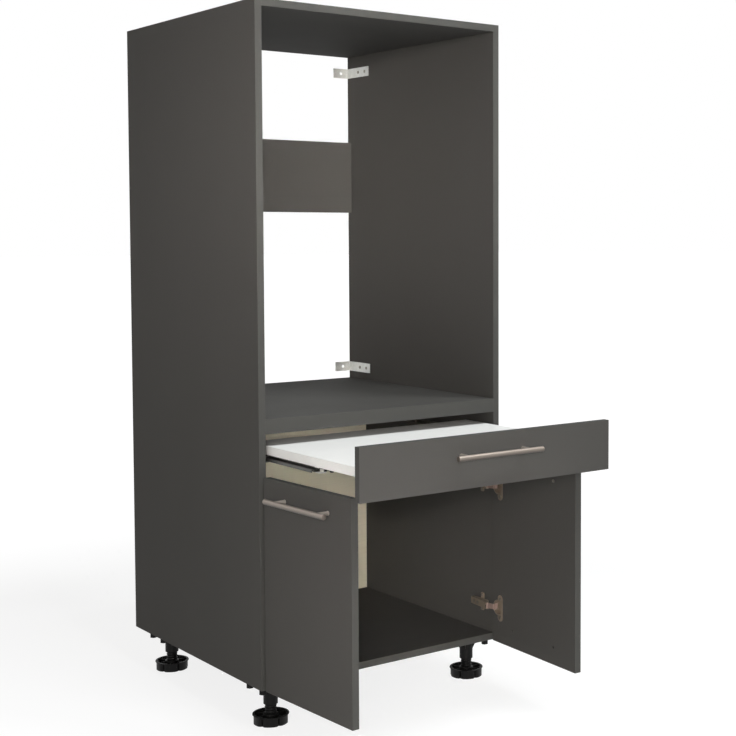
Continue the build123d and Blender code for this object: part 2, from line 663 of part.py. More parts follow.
def hinge_plate(z):
    """Cross-shaped mounting plate: a raised block along the depth and two screw wings."""
    wings = block((-INSIDE, -INSIDE + PLATE_THICK),
                  (PLATE_CENTRE - PLATE_WING_WIDTH / 2, PLATE_CENTRE + PLATE_WING_WIDTH / 2),
                  (z - PLATE_WING, z + PLATE_WING))
    wings = fillet(wings.edges().filter_by(Axis.X), PLATE_WING_WIDTH / 3)
    spine_half = ARM_WIDTH / 2 - ARM_SHEET - RUNNING_GAP
    spine = block((-INSIDE, -INSIDE + PLATE_BLOCK), (PLATE_FRONT, ARM_BACK), (z - spine_half, z + spine_half))
    holes = [screw_hole(place, direction) for place, direction in plate_screws()]
    return cut_all(fused([wings, spine]), holes)


def arm_profile(inset):
    """Side view of the arm, from the plate to the tip round the pin, drawn in by an inset."""
    tip = (ARM_PIN.real, ARM_PIN.imag)
    low = -INSIDE + PLATE_BLOCK
    high = -INSIDE + ARM_HEIGHT
    middle = Pos((low + high) / 2, (ARM_CHEEK_FRONT + ARM_BACK) / 2)
    body = middle * Rectangle(high - low, ARM_BACK - ARM_CHEEK_FRONT)
    outline = make_hull((Pos(*tip) * Circle(ARM_TIP_RADIUS)).edges() + body.edges())
    return Pos(-inset, 0) * outline


def hinge_arm(z):
    """Folded arm: two cheeks and a roof, open towards the panel and at the tip."""
    outer = Pos(0, 0, z) * extrude(arm_profile(0), ARM_WIDTH / 2, both=True)
    inner = Pos(0, 0, z) * extrude(arm_profile(ARM_SHEET), ARM_WIDTH / 2 - ARM_SHEET, both=True)
    spread = (ARM_PIN.real - ARM_TIP_RADIUS * 2, ARM_PIN.real + ARM_TIP_RADIUS * 2)
    mouth = block(spread, (ARM_PIN.imag - 2 * ARM_TIP_RADIUS, ARM_PIN.imag + ARM_TIP_RADIUS),
                  (z - ARM_WIDTH / 2 + ARM_SHEET, z + ARM_WIDTH / 2 - ARM_SHEET))
    seat = block((-INSIDE, -INSIDE + PLATE_BLOCK + ARM_SHEET), (PLATE_FRONT, ARM_BACK + OVERRUN),
                 (z - ARM_WIDTH / 2 + ARM_SHEET, z + ARM_WIDTH / 2 - ARM_SHEET))
    pin_hole = rod(PIN_RADIUS, (ARM_PIN.real, ARM_PIN.imag, z - ARM_WIDTH / 2), (0, 0, 1), ARM_WIDTH)
    screws = [adjusting_screw(y, z) for y in arm_screw_places()]
    return cut_all(outer, [inner, mouth, seat, pin_hole] + screws)


def arm_screw_places():
    """Places along the depth of the arm's two adjusting screws."""
    return [PLATE_CENTRE, (PLATE_CENTRE + ARM_BACK) / 2 + ARM_SHEET]


def arm_roof(y):
    """Distance from the side panel at which a screw's head is let into the arm's sloping roof."""
    slope = (ARM_PIN.real + ARM_TIP_RADIUS + INSIDE - ARM_HEIGHT) / (ARM_BACK - ARM_PIN.imag)
    return ARM_HEIGHT + slope * (ARM_BACK - y - SCREW_HEAD_RADIUS) - RUNNING_GAP


def arm_pin(z):
    return rod(PIN_RADIUS, (ARM_PIN.real, ARM_PIN.imag, z - ARM_WIDTH / 2), (0, 0, 1), ARM_WIDTH)


def adjusting_screw(y, z):
    """Screw through the arm's roof onto the mounting plate."""
    length = arm_roof(y) - PLATE_BLOCK
    shank = stud(SCREW_RADIUS, (-INSIDE + PLATE_BLOCK, y, z), (1, 0, 0), length)
    head = stud(SCREW_HEAD_RADIUS, (-INSIDE + arm_roof(y), y, z), (1, 0, 0), SCREW_HEAD)
    return fused([shank, head])


def hinge_link(z):
    """Bent link from the arm's pin into the cup, drawn with the door open."""
    start = CUP_PIN_OPEN
    along = cmath.exp(1j * math.radians(LINK_KNEE_ANGLE - DOOR_OPEN))
    knee = start + LINK_KNEE * along
    end = ARM_PIN
    strips = [link_strip(start, knee), link_strip(knee, end)]
    round_knee = Pos(knee.real, knee.imag) * Circle(LINK_SHEET / 2)
    eyes = [Pos(point.real, point.imag) * Circle(EYE_RADIUS) for point in (start, end)]
    outline = fused(strips + [round_knee] + eyes)
    plate = Pos(0, 0, z) * extrude(outline, LINK_WIDTH / 2, both=True)
    holes = [rod(PIN_RADIUS + PIN_CLEARANCE, (point.real, point.imag, z - LINK_WIDTH), (0, 0, 1),
                 2 * LINK_WIDTH) for point in (start, end)]
    return cut_all(plate, holes)


def link_strip(start, end):
    """Flat strip of the link between two points."""
    middle = (start + end) / 2
    turn = math.degrees(cmath.phase(end - start))
    return Pos(middle.real, middle.imag) * Rot(0, 0, turn) * Rectangle(abs(end - start), LINK_SHEET)


# The whole outline's front-most line is the shelf handle's.
OUTLINE_FRONT = FRONT_FACE - PULL - HANDLE_REACH - HANDLE_BAR_RADIUS
TO_ROW = Pos(0, -(OUTLINE_FRONT + DEPTH) / 2, FOOT_HEIGHT)


def save(name, shape):
    """Write one sub-part, with the origin on the floor under the middle of the outline."""
    moved = TO_ROW * shape
    export_step(moved, f"parts/{name}.step")


def save_pair(name, shape):
    """Write a left sub-part and its mirror image on the right."""
    left, right = both_sides(shape)
    save(f"left_{name}", left)
    save(f"right_{name}", right)


def save_carcass():
    save_pair("side_panel", side_panel())
    save("top_panel", top_panel())
    save("appliance_floor", appliance_floor())
    save("bottom_panel", bottom_panel())
    save("rear_rail", rear_rail())
    save("lower_back", lower_back())
    for name, z in zip(("lower", "upper"), BRACKET_HEIGHTS):
        save_pair(f"{name}_wall_bracket", wall_bracket(z))
    screws = [screw(*place) for place in bracket_screws()]
    save("bracket_screws", group([side for one in screws for side in both_sides(one)]))


def save_feet():
    for name, y in (("front", FOOT_FRONT), ("back", FOOT_BACK)):
        save_pair(f"{name}_foot_socket", foot_socket(y))
        save_pair(f"{name}_foot", foot(y))
    screws = [screw(*place) for place in foot_screws()]
    save("foot_screws", group([side for one in screws for side in both_sides(one)]))


def save_shelf():
    z = SHELF_FRONT_TOP - HANDLE_DROP
    bar, posts = handle(0, FRONT_FACE, z)
    save("shelf_front", pulled(shelf_front()))
    save("shelf_board", pulled(shelf_board()))
    save("shelf_handle_bar", pulled(bar))
    save("shelf_handle_posts", pulled(posts))
    save("shelf_handle_screws", pulled(handle_screws(0, FRONT_FACE, z)))
    half_pulled = Pos(0, -PULL / 2, 0)
    save_pair("cabinet_rail", cabinet_rail())
    save_pair("middle_rail", half_pulled * middle_rail())
    save_pair("rail_glides", half_pulled * middle_glides())
    save_pair("shelf_rail", pulled(shelf_rail()))
    save_pair("shelf_clip", pulled(shelf_clip()))
    screws = [screw(*place) for place in slide_screws()]
    save("slide_screws", group([side for one in screws for side in both_sides(one)]))


def save_doors():
    z = DOOR_HEIGHT - HANDLE_DROP
    bar, posts = handle(door_middle(), FRONT_FACE, z)
    save_pair("door", opened(door()))
    save_pair("door_handle_bar", opened(bar))
    save_pair("door_handle_posts", opened(posts))
    save_pair("door_handle_screws", opened(handle_screws(door_middle(), FRONT_FACE, z)))
    save_pair("hinge_cups", opened(group([cup(height) for height in HINGE_HEIGHTS])))
    cup_screws = [screw(*place, door_screw_length())
                  for height in HINGE_HEIGHTS for place in cup_screw_places(height)]
    pins = [cup_pin(height) for height in HINGE_HEIGHTS]
    save_pair("cup_pins", opened(group(pins)))
    save_pair("cup_screws", opened(group(cup_screws)))
    save_pair("hinge_links", group([hinge_link(height) for height in HINGE_HEIGHTS]))


def save_hinges():
    arms = group([hinge_arm(height) for height in HINGE_HEIGHTS])
    save_pair("hinge_arms", arms)
    plates = [hinge_plate(height) for height in HINGE_HEIGHTS]
    pins = [arm_pin(height) for height in HINGE_HEIGHTS]
    screws = [screw(*place) for place in plate_screws()]
    screws += [adjusting_screw(y, height) for height in HINGE_HEIGHTS for y in arm_screw_places()]
    for name, pieces in (("hinge_plates", plates), ("arm_pins", pins), ("hinge_screws", screws)):
        save(name, group([side for piece in pieces for side in both_sides(piece)]))


def main():
    os.makedirs("parts", exist_ok=True)
    save_carcass()
    save_feet()
    save_shelf()
    save_doors()
    save_hinges()
    print("door edge, arm pin and cup pin in the row frame:")
    for point in (OPEN_CORNER, ARM_PIN, CUP_PIN_OPEN):
        print(round(point.real, 4), round(point.imag - (OUTLINE_FRONT + DEPTH) / 2, 4))


main()
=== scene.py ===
import functools
import json
import logging
import math
from dataclasses import dataclass
from enum import Enum
from typing import Sequence

import bmesh
import bpy
import numpy as np
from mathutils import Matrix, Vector

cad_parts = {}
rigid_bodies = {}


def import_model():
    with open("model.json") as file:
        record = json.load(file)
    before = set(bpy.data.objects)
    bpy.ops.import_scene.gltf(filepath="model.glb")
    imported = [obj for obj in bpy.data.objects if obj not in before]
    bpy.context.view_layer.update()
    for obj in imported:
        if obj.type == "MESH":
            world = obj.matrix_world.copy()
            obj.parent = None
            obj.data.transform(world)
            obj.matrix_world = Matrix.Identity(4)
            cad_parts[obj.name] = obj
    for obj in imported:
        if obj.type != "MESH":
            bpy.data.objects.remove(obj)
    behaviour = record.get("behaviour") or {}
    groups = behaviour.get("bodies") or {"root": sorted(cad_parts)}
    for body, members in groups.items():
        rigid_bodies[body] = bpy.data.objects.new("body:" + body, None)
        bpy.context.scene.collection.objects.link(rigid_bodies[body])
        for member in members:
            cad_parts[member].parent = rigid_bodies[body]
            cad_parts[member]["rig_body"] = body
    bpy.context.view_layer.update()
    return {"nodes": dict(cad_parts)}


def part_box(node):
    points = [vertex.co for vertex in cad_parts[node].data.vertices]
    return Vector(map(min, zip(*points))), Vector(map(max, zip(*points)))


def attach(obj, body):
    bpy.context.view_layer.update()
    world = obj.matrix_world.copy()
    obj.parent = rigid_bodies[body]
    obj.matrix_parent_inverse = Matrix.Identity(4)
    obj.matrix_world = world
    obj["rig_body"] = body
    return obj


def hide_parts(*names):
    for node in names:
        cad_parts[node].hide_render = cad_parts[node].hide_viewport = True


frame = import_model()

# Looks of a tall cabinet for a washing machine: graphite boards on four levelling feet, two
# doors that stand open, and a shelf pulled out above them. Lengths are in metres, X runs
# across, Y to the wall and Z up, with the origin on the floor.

LOG = logging.getLogger("cabinet")
MILLIMETRE = 0.001
SHARP_ANGLE = math.radians(38.0)
MERGE_REACH = 0.002 * MILLIMETRE
SHORTEST_EDGE = 0.0005 * MILLIMETRE

Array = np.ndarray
Point = tuple[float, float, float]
Pair = tuple[float, float]
Socket = bpy.types.NodeSocket

ACROSS: Point = (1.0, 0.0, 0.0)
TO_WALL: Point = (0.0, 1.0, 0.0)
TO_ROOM: Point = (0.0, -1.0, 0.0)
UP: Point = (0.0, 0.0, 1.0)
DOWN: Point = (0.0, 0.0, -1.0)


def tone(red: int, green: int, blue: int) -> Point:
    """Turns a screen colour into linear light, by the usual curve of screens.

    Args:
        red, green, blue: The colour as a screen shows it, 0 to 255.

    Returns:
        The three linear shares.
    """
    shares = np.array([red, green, blue]) / 255
    linear = np.where(shares <= 0.04045, shares / 12.92, ((shares + 0.055) / 1.055) ** 2.4)
    return tuple(float(share) for share in linear)


def shade(colour: Point, share: float) -> Point:
    """The colour made darker or lighter by a share."""
    return tuple(min(value * share, 1.0) for value in colour)


class Slot(Enum):
    """The record's material slots."""

    GRAPHITE_BOARD = "graphite_board"
    WHITE_BOARD = "white_board"
    BACK_BOARD = "back_board"
    NICKEL = "nickel"
    ZINC = "zinc"
    RAIL_STEEL = "rail_steel"
    SCREW_STEEL = "screw_steel"
    BLACK_PLASTIC = "black_plastic"
    WHITE_PLASTIC = "white_plastic"


class Side(Enum):
    """Which side of the cabinet a piece is on, with the sign of its X."""

    LEFT = -1
    RIGHT = 1

    @property
    def word(self) -> str:
        """The side as node names have it."""
        return self.name.lower()

    @property
    def inward(self) -> Point:
        """From this side to the middle of the cabinet."""
        return (-self.value, 0, 0)


class Wiring:
    """The nodes of one material or world, added and joined in a few words."""

    bevel_samples = 4
    depth_samples = 6
    edge_limits = (0.01, 0.2)
    depth_limits = (0.1, 0.45)

    def __init__(self, owner: bpy.types.Material | bpy.types.World, shader: str) -> None:
        """Starts a tree that has only a shader, joined to the output.

        Args:
            owner: The material or world that the tree belongs to.
            shader: The type of the shader's node.
        """
        owner.use_nodes = True
        self.tree = owner.node_tree
        self.tree.nodes.clear()
        self.shader = self.add(shader)
        kind = "World" if isinstance(owner, bpy.types.World) else "Material"
        self.add(f"ShaderNodeOutput{kind}", {"Surface": self.shader.outputs[0]})

    def add(self, kind: str, inputs: dict | None = None, **settings: object) -> bpy.types.Node:
        """Adds a node.

        Args:
            kind: The node's type.
            inputs: What each input socket holds: a value, or a socket that is joined to it.
            settings: The node's own settings.

        Returns:
            The node.
        """
        node = self.tree.nodes.new(kind)
        for key, value in settings.items():
            setattr(node, key, value)
        for key, value in (inputs or {}).items():
            self.put(node.inputs[key], value)
        return node

    def put(self, socket: Socket, value: object) -> None:
        """Joins a socket to an input, or sets its value."""
        if isinstance(value, Socket):
            self.tree.links.new(value, socket)
        elif isinstance(value, tuple) and socket.type == "RGBA":
            socket.default_value = (*value, 1.0)
        else:
            socket.default_value = value

    def set(self, **values: object) -> None:
        """Fills the shader's sockets, named with low lines for spaces."""
        for key, value in values.items():
            self.put(self.shader.inputs[key.replace("_", " ")], value)

    def coordinates(self, name: str = "Object", stretch: Point = (1.0, 1.0, 1.0)) -> Socket:
        """The piece's own coordinates.

        Args:
            name: Object or UV.
            stretch: How much faster a pattern changes along each axis.

        Returns:
            The socket with the stretched coordinates.
        """
        inputs = {0: self.add("ShaderNodeTexCoord").outputs[name], 1: stretch}
        return self.add("ShaderNodeVectorMath", inputs, operation="MULTIPLY").outputs[0]

    def noise(self, where: Socket, scale: float, detail: float = 2.0) -> Socket:
        """Soft noise between 0 and 1, with its number of waves in a metre."""
        inputs = {"Vector": where, "Scale": scale, "Detail": detail}
        return self.add("ShaderNodeTexNoise", inputs).outputs[0]

    def spread(self, value: Socket, low: float, high: float, start: float = 0.3,
               end: float = 0.7) -> Socket:
        """Stretches the part of a value between start and end over low to high."""
        inputs = {0: value, 1: start, 2: end, 3: low, 4: high}
        return self.add("ShaderNodeMapRange", inputs).outputs[0]

    def sum(self, operation: str, first: object, second: object = 0.0) -> Socket:
        """One sum on two numbers."""
        return self.add("ShaderNodeMath", {0: first, 1: second}, operation=operation).outputs[0]

    def dot(self, first: Socket, second: object) -> Socket:
        """The cosine between two directions."""
        inputs = {0: first, 1: second}
        return self.add("ShaderNodeVectorMath", inputs, operation="DOT_PRODUCT").outputs["Value"]

    def looks(self, direction: Point) -> Socket:
        """How far a face looks along a direction: 1 along it and -1 against it."""
        return self.dot(self.add("ShaderNodeTexCoord").outputs["Normal"], direction)

    def seen(self) -> Socket:
        """1 for the rays of the camera, mirrors and glass, and 0 for the others."""
        path = self.add("ShaderNodeLightPath").outputs
        seen = self.sum("MAXIMUM", path["Is Camera Ray"], path["Is Glossy Ray"])
        return self.sum("MAXIMUM", seen, path["Is Transmission Ray"])

    def mix(self, share: object, low: object, high: object) -> Socket:
        """A colour between two, by a share."""
        return self.add("ShaderNodeMix", {0: share, 6: low, 7: high}, data_type="RGBA").outputs[2]

    def mottle(self, colour: Point, pattern: Socket, low: float, high: float) -> Socket:
        """The colour between two shades of it, by a pattern."""
        return self.mix(self.spread(pattern, 0.0, 1.0), shade(colour, low), shade(colour, high))

    def veil(self, under: object, pattern: Socket, share: float, over: Point) -> Socket:
        """A colour with another laid over it in a pattern, which hides up to the share."""
        return self.mix(self.spread(pattern, 0.0, share), under, over)

    def soft_normal(self, radius: float) -> Socket:
        """The normal as if every sharp edge were rounded by a radius."""
        inputs = {"Radius": radius}
        return self.add("ShaderNodeBevel", inputs, samples=self.bevel_samples).outputs[0]

    def edge_share(self, soft: Socket, most: float = 1.0) -> Socket:
        """How near an edge a place is, from 1 less the cosine of its rounded and true normal."""
        true = self.add("ShaderNodeNewGeometry").outputs["Normal"]
        share = self.spread(self.sum("SUBTRACT", 1.0, self.dot(soft, true)), 0.0, 1.0,
                            *self.edge_limits)
        return self.sum("MULTIPLY", share, most) if most < 1 else share

    def depth_share(self, reach: float, most: float) -> Socket:
        """Painted shade for holes and gaps: 0 in the open, and the most where light is scarce."""
        inputs = {"Distance": reach}
        node = self.add("ShaderNodeAmbientOcclusion", inputs, samples=self.depth_samples)
        share = self.spread(node.outputs["AO"], 1.0, 0.0, *self.depth_limits)
        return self.sum("MULTIPLY", share, most)

    def bump(self, height: Socket, distance: float, normal: Socket | None = None,
             strength: float = 0.6) -> Socket:
        """Relief from a height pattern, as deep as the distance in millimetres."""
        inputs = {"Height": height, "Distance": distance * MILLIMETRE, "Strength": strength}
        if normal is not None:
            inputs["Normal"] = normal
        return self.add("ShaderNodeBump", inputs).outputs[0]


@dataclass(frozen=True)
class Finish:
    """What every finish has: a name, the record's slot, a linear colour and a roughness."""

    name: str
    slot: Slot
    colour: Point
    roughness: float

    def wire(self, wiring: Wiring) -> None:
        """Adds the finish's own nodes."""
        raise NotImplementedError

    def uneven(self, wiring: Wiring, pattern: Socket, less: float, more: float) -> Socket:
        """The roughness, a little less or more by a pattern."""
        return wiring.spread(pattern, self.roughness - less, self.roughness + more)


@functools.cache
def material_of(finish: Finish) -> bpy.types.Material:
    """The finish's material, made once.

    Args:
        finish: The finish.

    Returns:
        Its material.
    """
    material = bpy.data.materials.new(finish.name)
    finish.wire(Wiring(material, "ShaderNodeBsdfPrincipled"))
    return material


@dataclass(frozen=True)
class Melamine(Finish):
    """Board coated with a fine-grained film, with a glued band on its edges.

    The broad faces look along across. A face that turns away from that is the edge band, which
    has a colour of its own. Holes and narrow gaps get painted shade inside.
    """

    across: Point = ACROSS
    edge: Point = (0.1, 0.1, 0.1)
    wear: float = 0.05
    grain: float = 0.035
    gloss: float = 0.04
    rounding: float = 0.9 * MILLIMETRE
    edge_cosine: float = 0.7
    bare: Point = tone(190, 188, 184)
    # How far to look, how strongly and how dark the painted shade in holes and gaps is.
    hole_reach: float = 8 * MILLIMETRE
    hole_share: float = 0.9
    hole_shade: float = 0.12

    def wire(self, wiring: Wiring) -> None:
        """Adds clouds, fine grain, the edge band, rubbed edges, painted shade in holes and an
        uneven sheen.
        """
        where = wiring.coordinates()
        clouds = wiring.noise(where, 2.6, 3.0)
        pores = wiring.noise(where, 900.0, 3.0)
        hands = wiring.noise(where, 7.0, 4.0)
        peel = wiring.noise(where, 260.0)
        soft = wiring.soft_normal(self.rounding)
        face = wiring.mottle(self.colour, clouds, 0.985, 1.015)
        face = wiring.veil(face, pores, 0.5, shade(self.colour, 1 + 4 * self.grain))
        band = wiring.veil(self.edge, pores, 0.4, shade(self.edge, 1.1))
        turn = wiring.sum("ABSOLUTE", wiring.looks(self.across))
        colour = wiring.mix(wiring.sum("LESS_THAN", turn, self.edge_cosine), face, band)
        colour = wiring.mix(wiring.edge_share(soft, self.wear), colour, self.bare)
        # Painted shade: holes and narrow gaps are darkened towards 0.12 of the colour.
        depth = wiring.depth_share(self.hole_reach, self.hole_share)
        fine = wiring.bump(pores, 0.03, soft, 0.5)
        wiring.set(Base_Color=wiring.mix(depth, colour, shade(self.colour, self.hole_shade)),
                   Roughness=self.uneven(wiring, hands, 0.02, 0.03),
                   Specular_IOR_Level=self.gloss, Normal=wiring.bump(peel, 0.04, fine))


@dataclass(frozen=True)
class PaintedFibreboard(Finish):
    """Thin pressed board with a rolled coat of paint that shows the felt it was pressed on."""

    gloss: float = 0.35
    rolling: Point = (1.0, 1.0, 40.0)

    def wire(self, wiring: Wiring) -> None:
        """Adds faint long rollers' marks and a pressed grain."""
        rolled = wiring.noise(wiring.coordinates("Object", self.rolling), 6.0, 3.0)
        pressed = wiring.noise(wiring.coordinates(), 420.0, 4.0)
        face = wiring.mottle(self.colour, rolled, 0.96, 1.02)
        wiring.set(Base_Color=wiring.veil(face, pressed, 0.3, shade(self.colour, 0.93)),
                   Roughness=self.uneven(wiring, rolled, 0.04, 0.06),
                   Specular_IOR_Level=self.gloss, Normal=wiring.bump(pressed, 0.05))


@dataclass(frozen=True)
class BrushedMetal(Finish):
    """Metal with fine lines from brushing, which lie along one direction of its coordinates.

    Faces that look down are painted darker by the share under: painted shade on undersides.
    """

    coordinates: str = "UV"
    lines: Point = (30.0, 3500.0, 1.0)
    depth: float = 0.004
    metallic: float = 1.0
    # The share of painted shade on faces that look down.
    under: float = 0.0
    rounding: float = 0.35 * MILLIMETRE

    def wire(self, wiring: Wiring) -> None:
        """Adds brushed lines, soft stains, painted shade on undersides and brighter edges."""
        streaks = wiring.noise(wiring.coordinates(self.coordinates, self.lines), 1.0, 3.0)
        stains = wiring.noise(wiring.coordinates(), 38.0, 3.0)
        soft = wiring.soft_normal(self.rounding)
        face = wiring.mottle(self.colour, streaks, 0.93, 1.05)
        face = wiring.veil(face, stains, 0.35, shade(self.colour, 0.86))
        # Painted shade: faces that look down darken towards a quarter of the colour, by the share
        # under.
        painted_underside_shade = wiring.spread(wiring.looks(UP), self.under, 0.0, -0.6, 0.5)
        face = wiring.mix(painted_underside_shade, face, shade(self.colour, 0.25))
        rough = self.uneven(wiring, streaks, 0.05, 0.08)
        wiring.set(Base_Color=wiring.mix(wiring.edge_share(soft), face, shade(self.colour, 1.18)),
                   Roughness=wiring.sum("ADD", rough, wiring.spread(stains, 0.0, 0.06)),
                   Metallic=self.metallic, Normal=wiring.bump(streaks, self.depth, soft, 0.7))


@dataclass(frozen=True)
class ZincCoat(Finish):
    """Sheet steel with a zinc coat: faint flakes, dark matt stains and bright cut edges."""

    flakes: float = 260.0
    rounding: float = 0.4 * MILLIMETRE

    def wire(self, wiring: Wiring) -> None:
        """Adds the flakes, stains and bright edges."""
        where = wiring.coordinates()
        inputs = {"Vector": where, "Scale": self.flakes}
        flake = wiring.add("ShaderNodeTexVoronoi", inputs).outputs["Color"]
        grey = wiring.add("ShaderNodeSeparateColor", {0: flake}).outputs[0]
        stains = wiring.noise(where, 55.0, 4.0)
        soft = wiring.soft_normal(self.rounding)
        face = wiring.mix(grey, shade(self.colour, 0.92), shade(self.colour, 1.06))
        face = wiring.veil(face, stains, 0.4, shade(self.colour, 0.8))
        rough = wiring.spread(grey, self.roughness - 0.05, self.roughness + 0.06, 0.0, 1.0)
        wiring.set(Base_Color=wiring.mix(wiring.edge_share(soft), face, shade(self.colour, 1.25)),
                   Roughness=wiring.sum("ADD", rough, wiring.spread(stains, 0.0, 0.1)),
                   Metallic=1.0, Normal=wiring.bump(wiring.noise(where, 700.0), 0.01, soft))


@dataclass(frozen=True)
class MouldedPlastic(Finish):
    """Plastic from a spark-eroded mould: a fine matt grain, paler rubbed edges and dust on top."""

    dust: float = 0.1
    gloss: float = 0.45
    wear: float = 0.05
    rounding: float = 0.5 * MILLIMETRE
    bare: Point = tone(150, 150, 148)
    dusty: Point = tone(170, 168, 160)

    def wire(self, wiring: Wiring) -> None:
        """Adds the grain, rubbed edges and dust on faces that look up."""
        where = wiring.coordinates()
        grain = wiring.noise(where, 1300.0, 3.0)
        clouds = wiring.noise(where, 24.0, 3.0)
        soft = wiring.soft_normal(self.rounding)
        face = wiring.mottle(self.colour, clouds, 0.88, 1.15)
        face = wiring.mix(wiring.edge_share(soft, self.wear), face, self.bare)
        level = wiring.spread(wiring.looks(UP), 0.0, self.dust, 0.4, 1.0)
        wiring.set(Base_Color=wiring.mix(wiring.sum("MULTIPLY", level, clouds), face, self.dusty),
                   Roughness=self.uneven(wiring, grain, 0.06, 0.08),
                   Specular_IOR_Level=self.gloss, Normal=wiring.bump(grain, 0.03, soft))


GRAPHITE = tone(77, 76, 74)
GRAPHITE_EDGE = tone(74, 74, 72)
DOOR_OPEN = math.radians(87.0)
SINE, COSINE = math.sin(DOOR_OPEN), math.cos(DOOR_OPEN)


def graphite(name: str, across: Point) -> Melamine:
    """Graphite board whose broad faces look along a direction."""
    return Melamine(name, Slot.GRAPHITE_BOARD, GRAPHITE, 0.7, across, GRAPHITE_EDGE)


UPRIGHT_GRAPHITE = graphite("graphite upright board", ACROSS)
LEVEL_GRAPHITE = graphite("graphite level board", UP)
FRONT_GRAPHITE = graphite("graphite cross board", TO_WALL)
DOOR_GRAPHITE = {Side.LEFT: graphite("graphite left door", (-SINE, -COSINE, 0.0)),
                 Side.RIGHT: graphite("graphite right door", (SINE, -COSINE, 0.0))}
WHITE_BOARD = Melamine("white board", Slot.WHITE_BOARD, tone(238, 238, 236), 0.42, UP,
                       tone(240, 240, 238), 0.05, 0.01)
BACK_BOARD = PaintedFibreboard("painted back board", Slot.BACK_BOARD, tone(246, 238, 214), 0.55)
# The bar and its posts get painted shade on faces that look down (under 0.9 and 0.3).
BAR_NICKEL = BrushedMetal("brushed nickel bar", Slot.NICKEL, tone(148, 138, 129), 0.3,
                          depth=0.0015, metallic=0.8, under=0.9)
POST_NICKEL = BrushedMetal("turned nickel post", Slot.NICKEL, tone(200, 190, 181), 0.3, "UV",
                           (3500.0, 30.0, 1.0), 0.0015, 0.7, 0.3)
HINGE_NICKEL = BrushedMetal("plated hinge sheet", Slot.NICKEL, tone(166, 152, 136), 0.42,
                            "Object", (400.0, 400.0, 60.0), 0.002, 0.6)
LINK_NICKEL = BrushedMetal("plated hinge link", Slot.NICKEL, tone(174, 150, 140), 0.5,
                           "Object", (300.0, 300.0, 80.0), 0.002, 0.8)
ZINC = ZincCoat("zinc coat", Slot.ZINC, tone(212, 213, 210), 0.46)
RAIL_STEEL = BrushedMetal("rolled rail steel", Slot.RAIL_STEEL, tone(88, 87, 84), 0.4,
                          "Object", (900.0, 12.0, 900.0), 0.003)
PIN_STEEL = BrushedMetal("ground pin steel", Slot.SCREW_STEEL, tone(170, 170, 172), 0.22,
                         "Object", (1500.0, 1500.0, 60.0), 0.002)
SCREW_STEEL = BrushedMetal("plated screw steel", Slot.SCREW_STEEL, tone(150, 146, 138), 0.34,
                           "Object", (700.0, 700.0, 700.0), 0.003)
BLACK_PLASTIC = MouldedPlastic("black moulded plastic", Slot.BLACK_PLASTIC, tone(8, 8, 8), 0.46,
                               0.015, 0.14)
WHITE_PLASTIC = MouldedPlastic("white moulded plastic", Slot.WHITE_PLASTIC, tone(222, 221, 216),
                               0.4, 0.02)


@dataclass
class Surface:
    """A grid of points worked out from two parameters.

    The grid runs in rows and columns. A closed direction joins its last line to its first.
    """

    points: Array
    closed_rows: bool = False
    closed_columns: bool = False

    def corners(self) -> tuple[Array, Array]:
        """Joins the grid into four-sided faces.

        Returns:
            The vertex numbers of each face's corners, and the same corners' places on the
            unrolled grid, from which their texture coordinates come.
        """
        rows, columns = self.points.shape[:2]
        row = np.arange(rows if self.closed_rows else rows - 1)[:, None]
        column = np.arange(columns if self.closed_columns else columns - 1)[None, :]
        places = []
        for down, right in ((0, 0), (0, 1), (1, 1), (1, 0)):
            places.append(np.stack(np.broadcast_arrays(row + down, column + right), axis=-1))
        unrolled = np.stack(places, axis=2).reshape(-1, 4, 2)
        numbers = (unrolled[..., 0] % rows) * columns + unrolled[..., 1] % columns
        return numbers, unrolled

    def texture(self, unrolled: Array) -> Array:
        """Works out texture coordinates in metres.

        They are the lengths walked down the rows and along the columns, where a step down is as
        long as the mean of its row, and a step along as the longest of its column.

        Args:
            unrolled: The corners' places on the unrolled grid.

        Returns:
            Two coordinates for each corner.
        """
        below = np.diff(self.points, axis=0, append=self.points[:1])
        beside = np.diff(self.points, axis=1, append=self.points[:, :1])
        down = np.cumsum(np.append(0, np.linalg.norm(below, axis=2).mean(axis=1)))
        along = np.cumsum(np.append(0, np.linalg.norm(beside, axis=2).max(axis=0)))
        return np.stack([down[unrolled[..., 0]], along[unrolled[..., 1]]], axis=-1)

    def stood(self, point: Sequence[float], axis: Sequence[float],
              forward: Sequence[float] = UP) -> "Surface":
        """Turns the surface's own Z to a direction and moves its origin to a point.

        Args:
            point: Where the origin goes.
            axis: Where Z looks.
            forward: A direction that X turns towards as far as it can.

        Returns:
            The moved surface.
        """
        up = np.array(axis, float) / np.linalg.norm(axis)
        hint = np.array(forward, float)
        if abs(up @ hint) > 0.9:
            hint = np.array(ACROSS)
        along = hint - up * (up @ hint)
        along /= np.linalg.norm(along)
        points = self.points @ np.stack([along, np.cross(up, along), up]) + np.array(point, float)
        return Surface(points, self.closed_rows, self.closed_columns)


def eased(corners: Sequence[Pair], radius: float, steps: int = 4) -> Array:
    """Rounds the corners of an open outline.

    Each inner corner c becomes the curve (1-t)^2 a + 2t(1-t) c + t^2 b, where a and b lie the
    radius before and after the corner, or half way to the next corner if that is nearer.

    Args:
        corners: The outline's points.
        radius: How far from a corner its curve starts.
        steps: How many points each curve has.

    Returns:
        The points of the rounded outline.
    """
    line = np.array(corners, float)
    middle = line[1:-1]
    ends = []
    for away in (line[:-2] - middle, line[2:] - middle):
        reach = np.minimum(radius / np.linalg.norm(away, axis=1), 0.499)
        ends.append((middle + away * reach[:, None])[:, None])
    t = np.linspace(0, 1, steps)[None, :, None]
    curves = (1 - t) ** 2 * ends[0] + 2 * t * (1 - t) * middle[:, None] + t ** 2 * ends[1]
    return np.concatenate([line[:1], curves.reshape(-1, 2), line[-1:]])


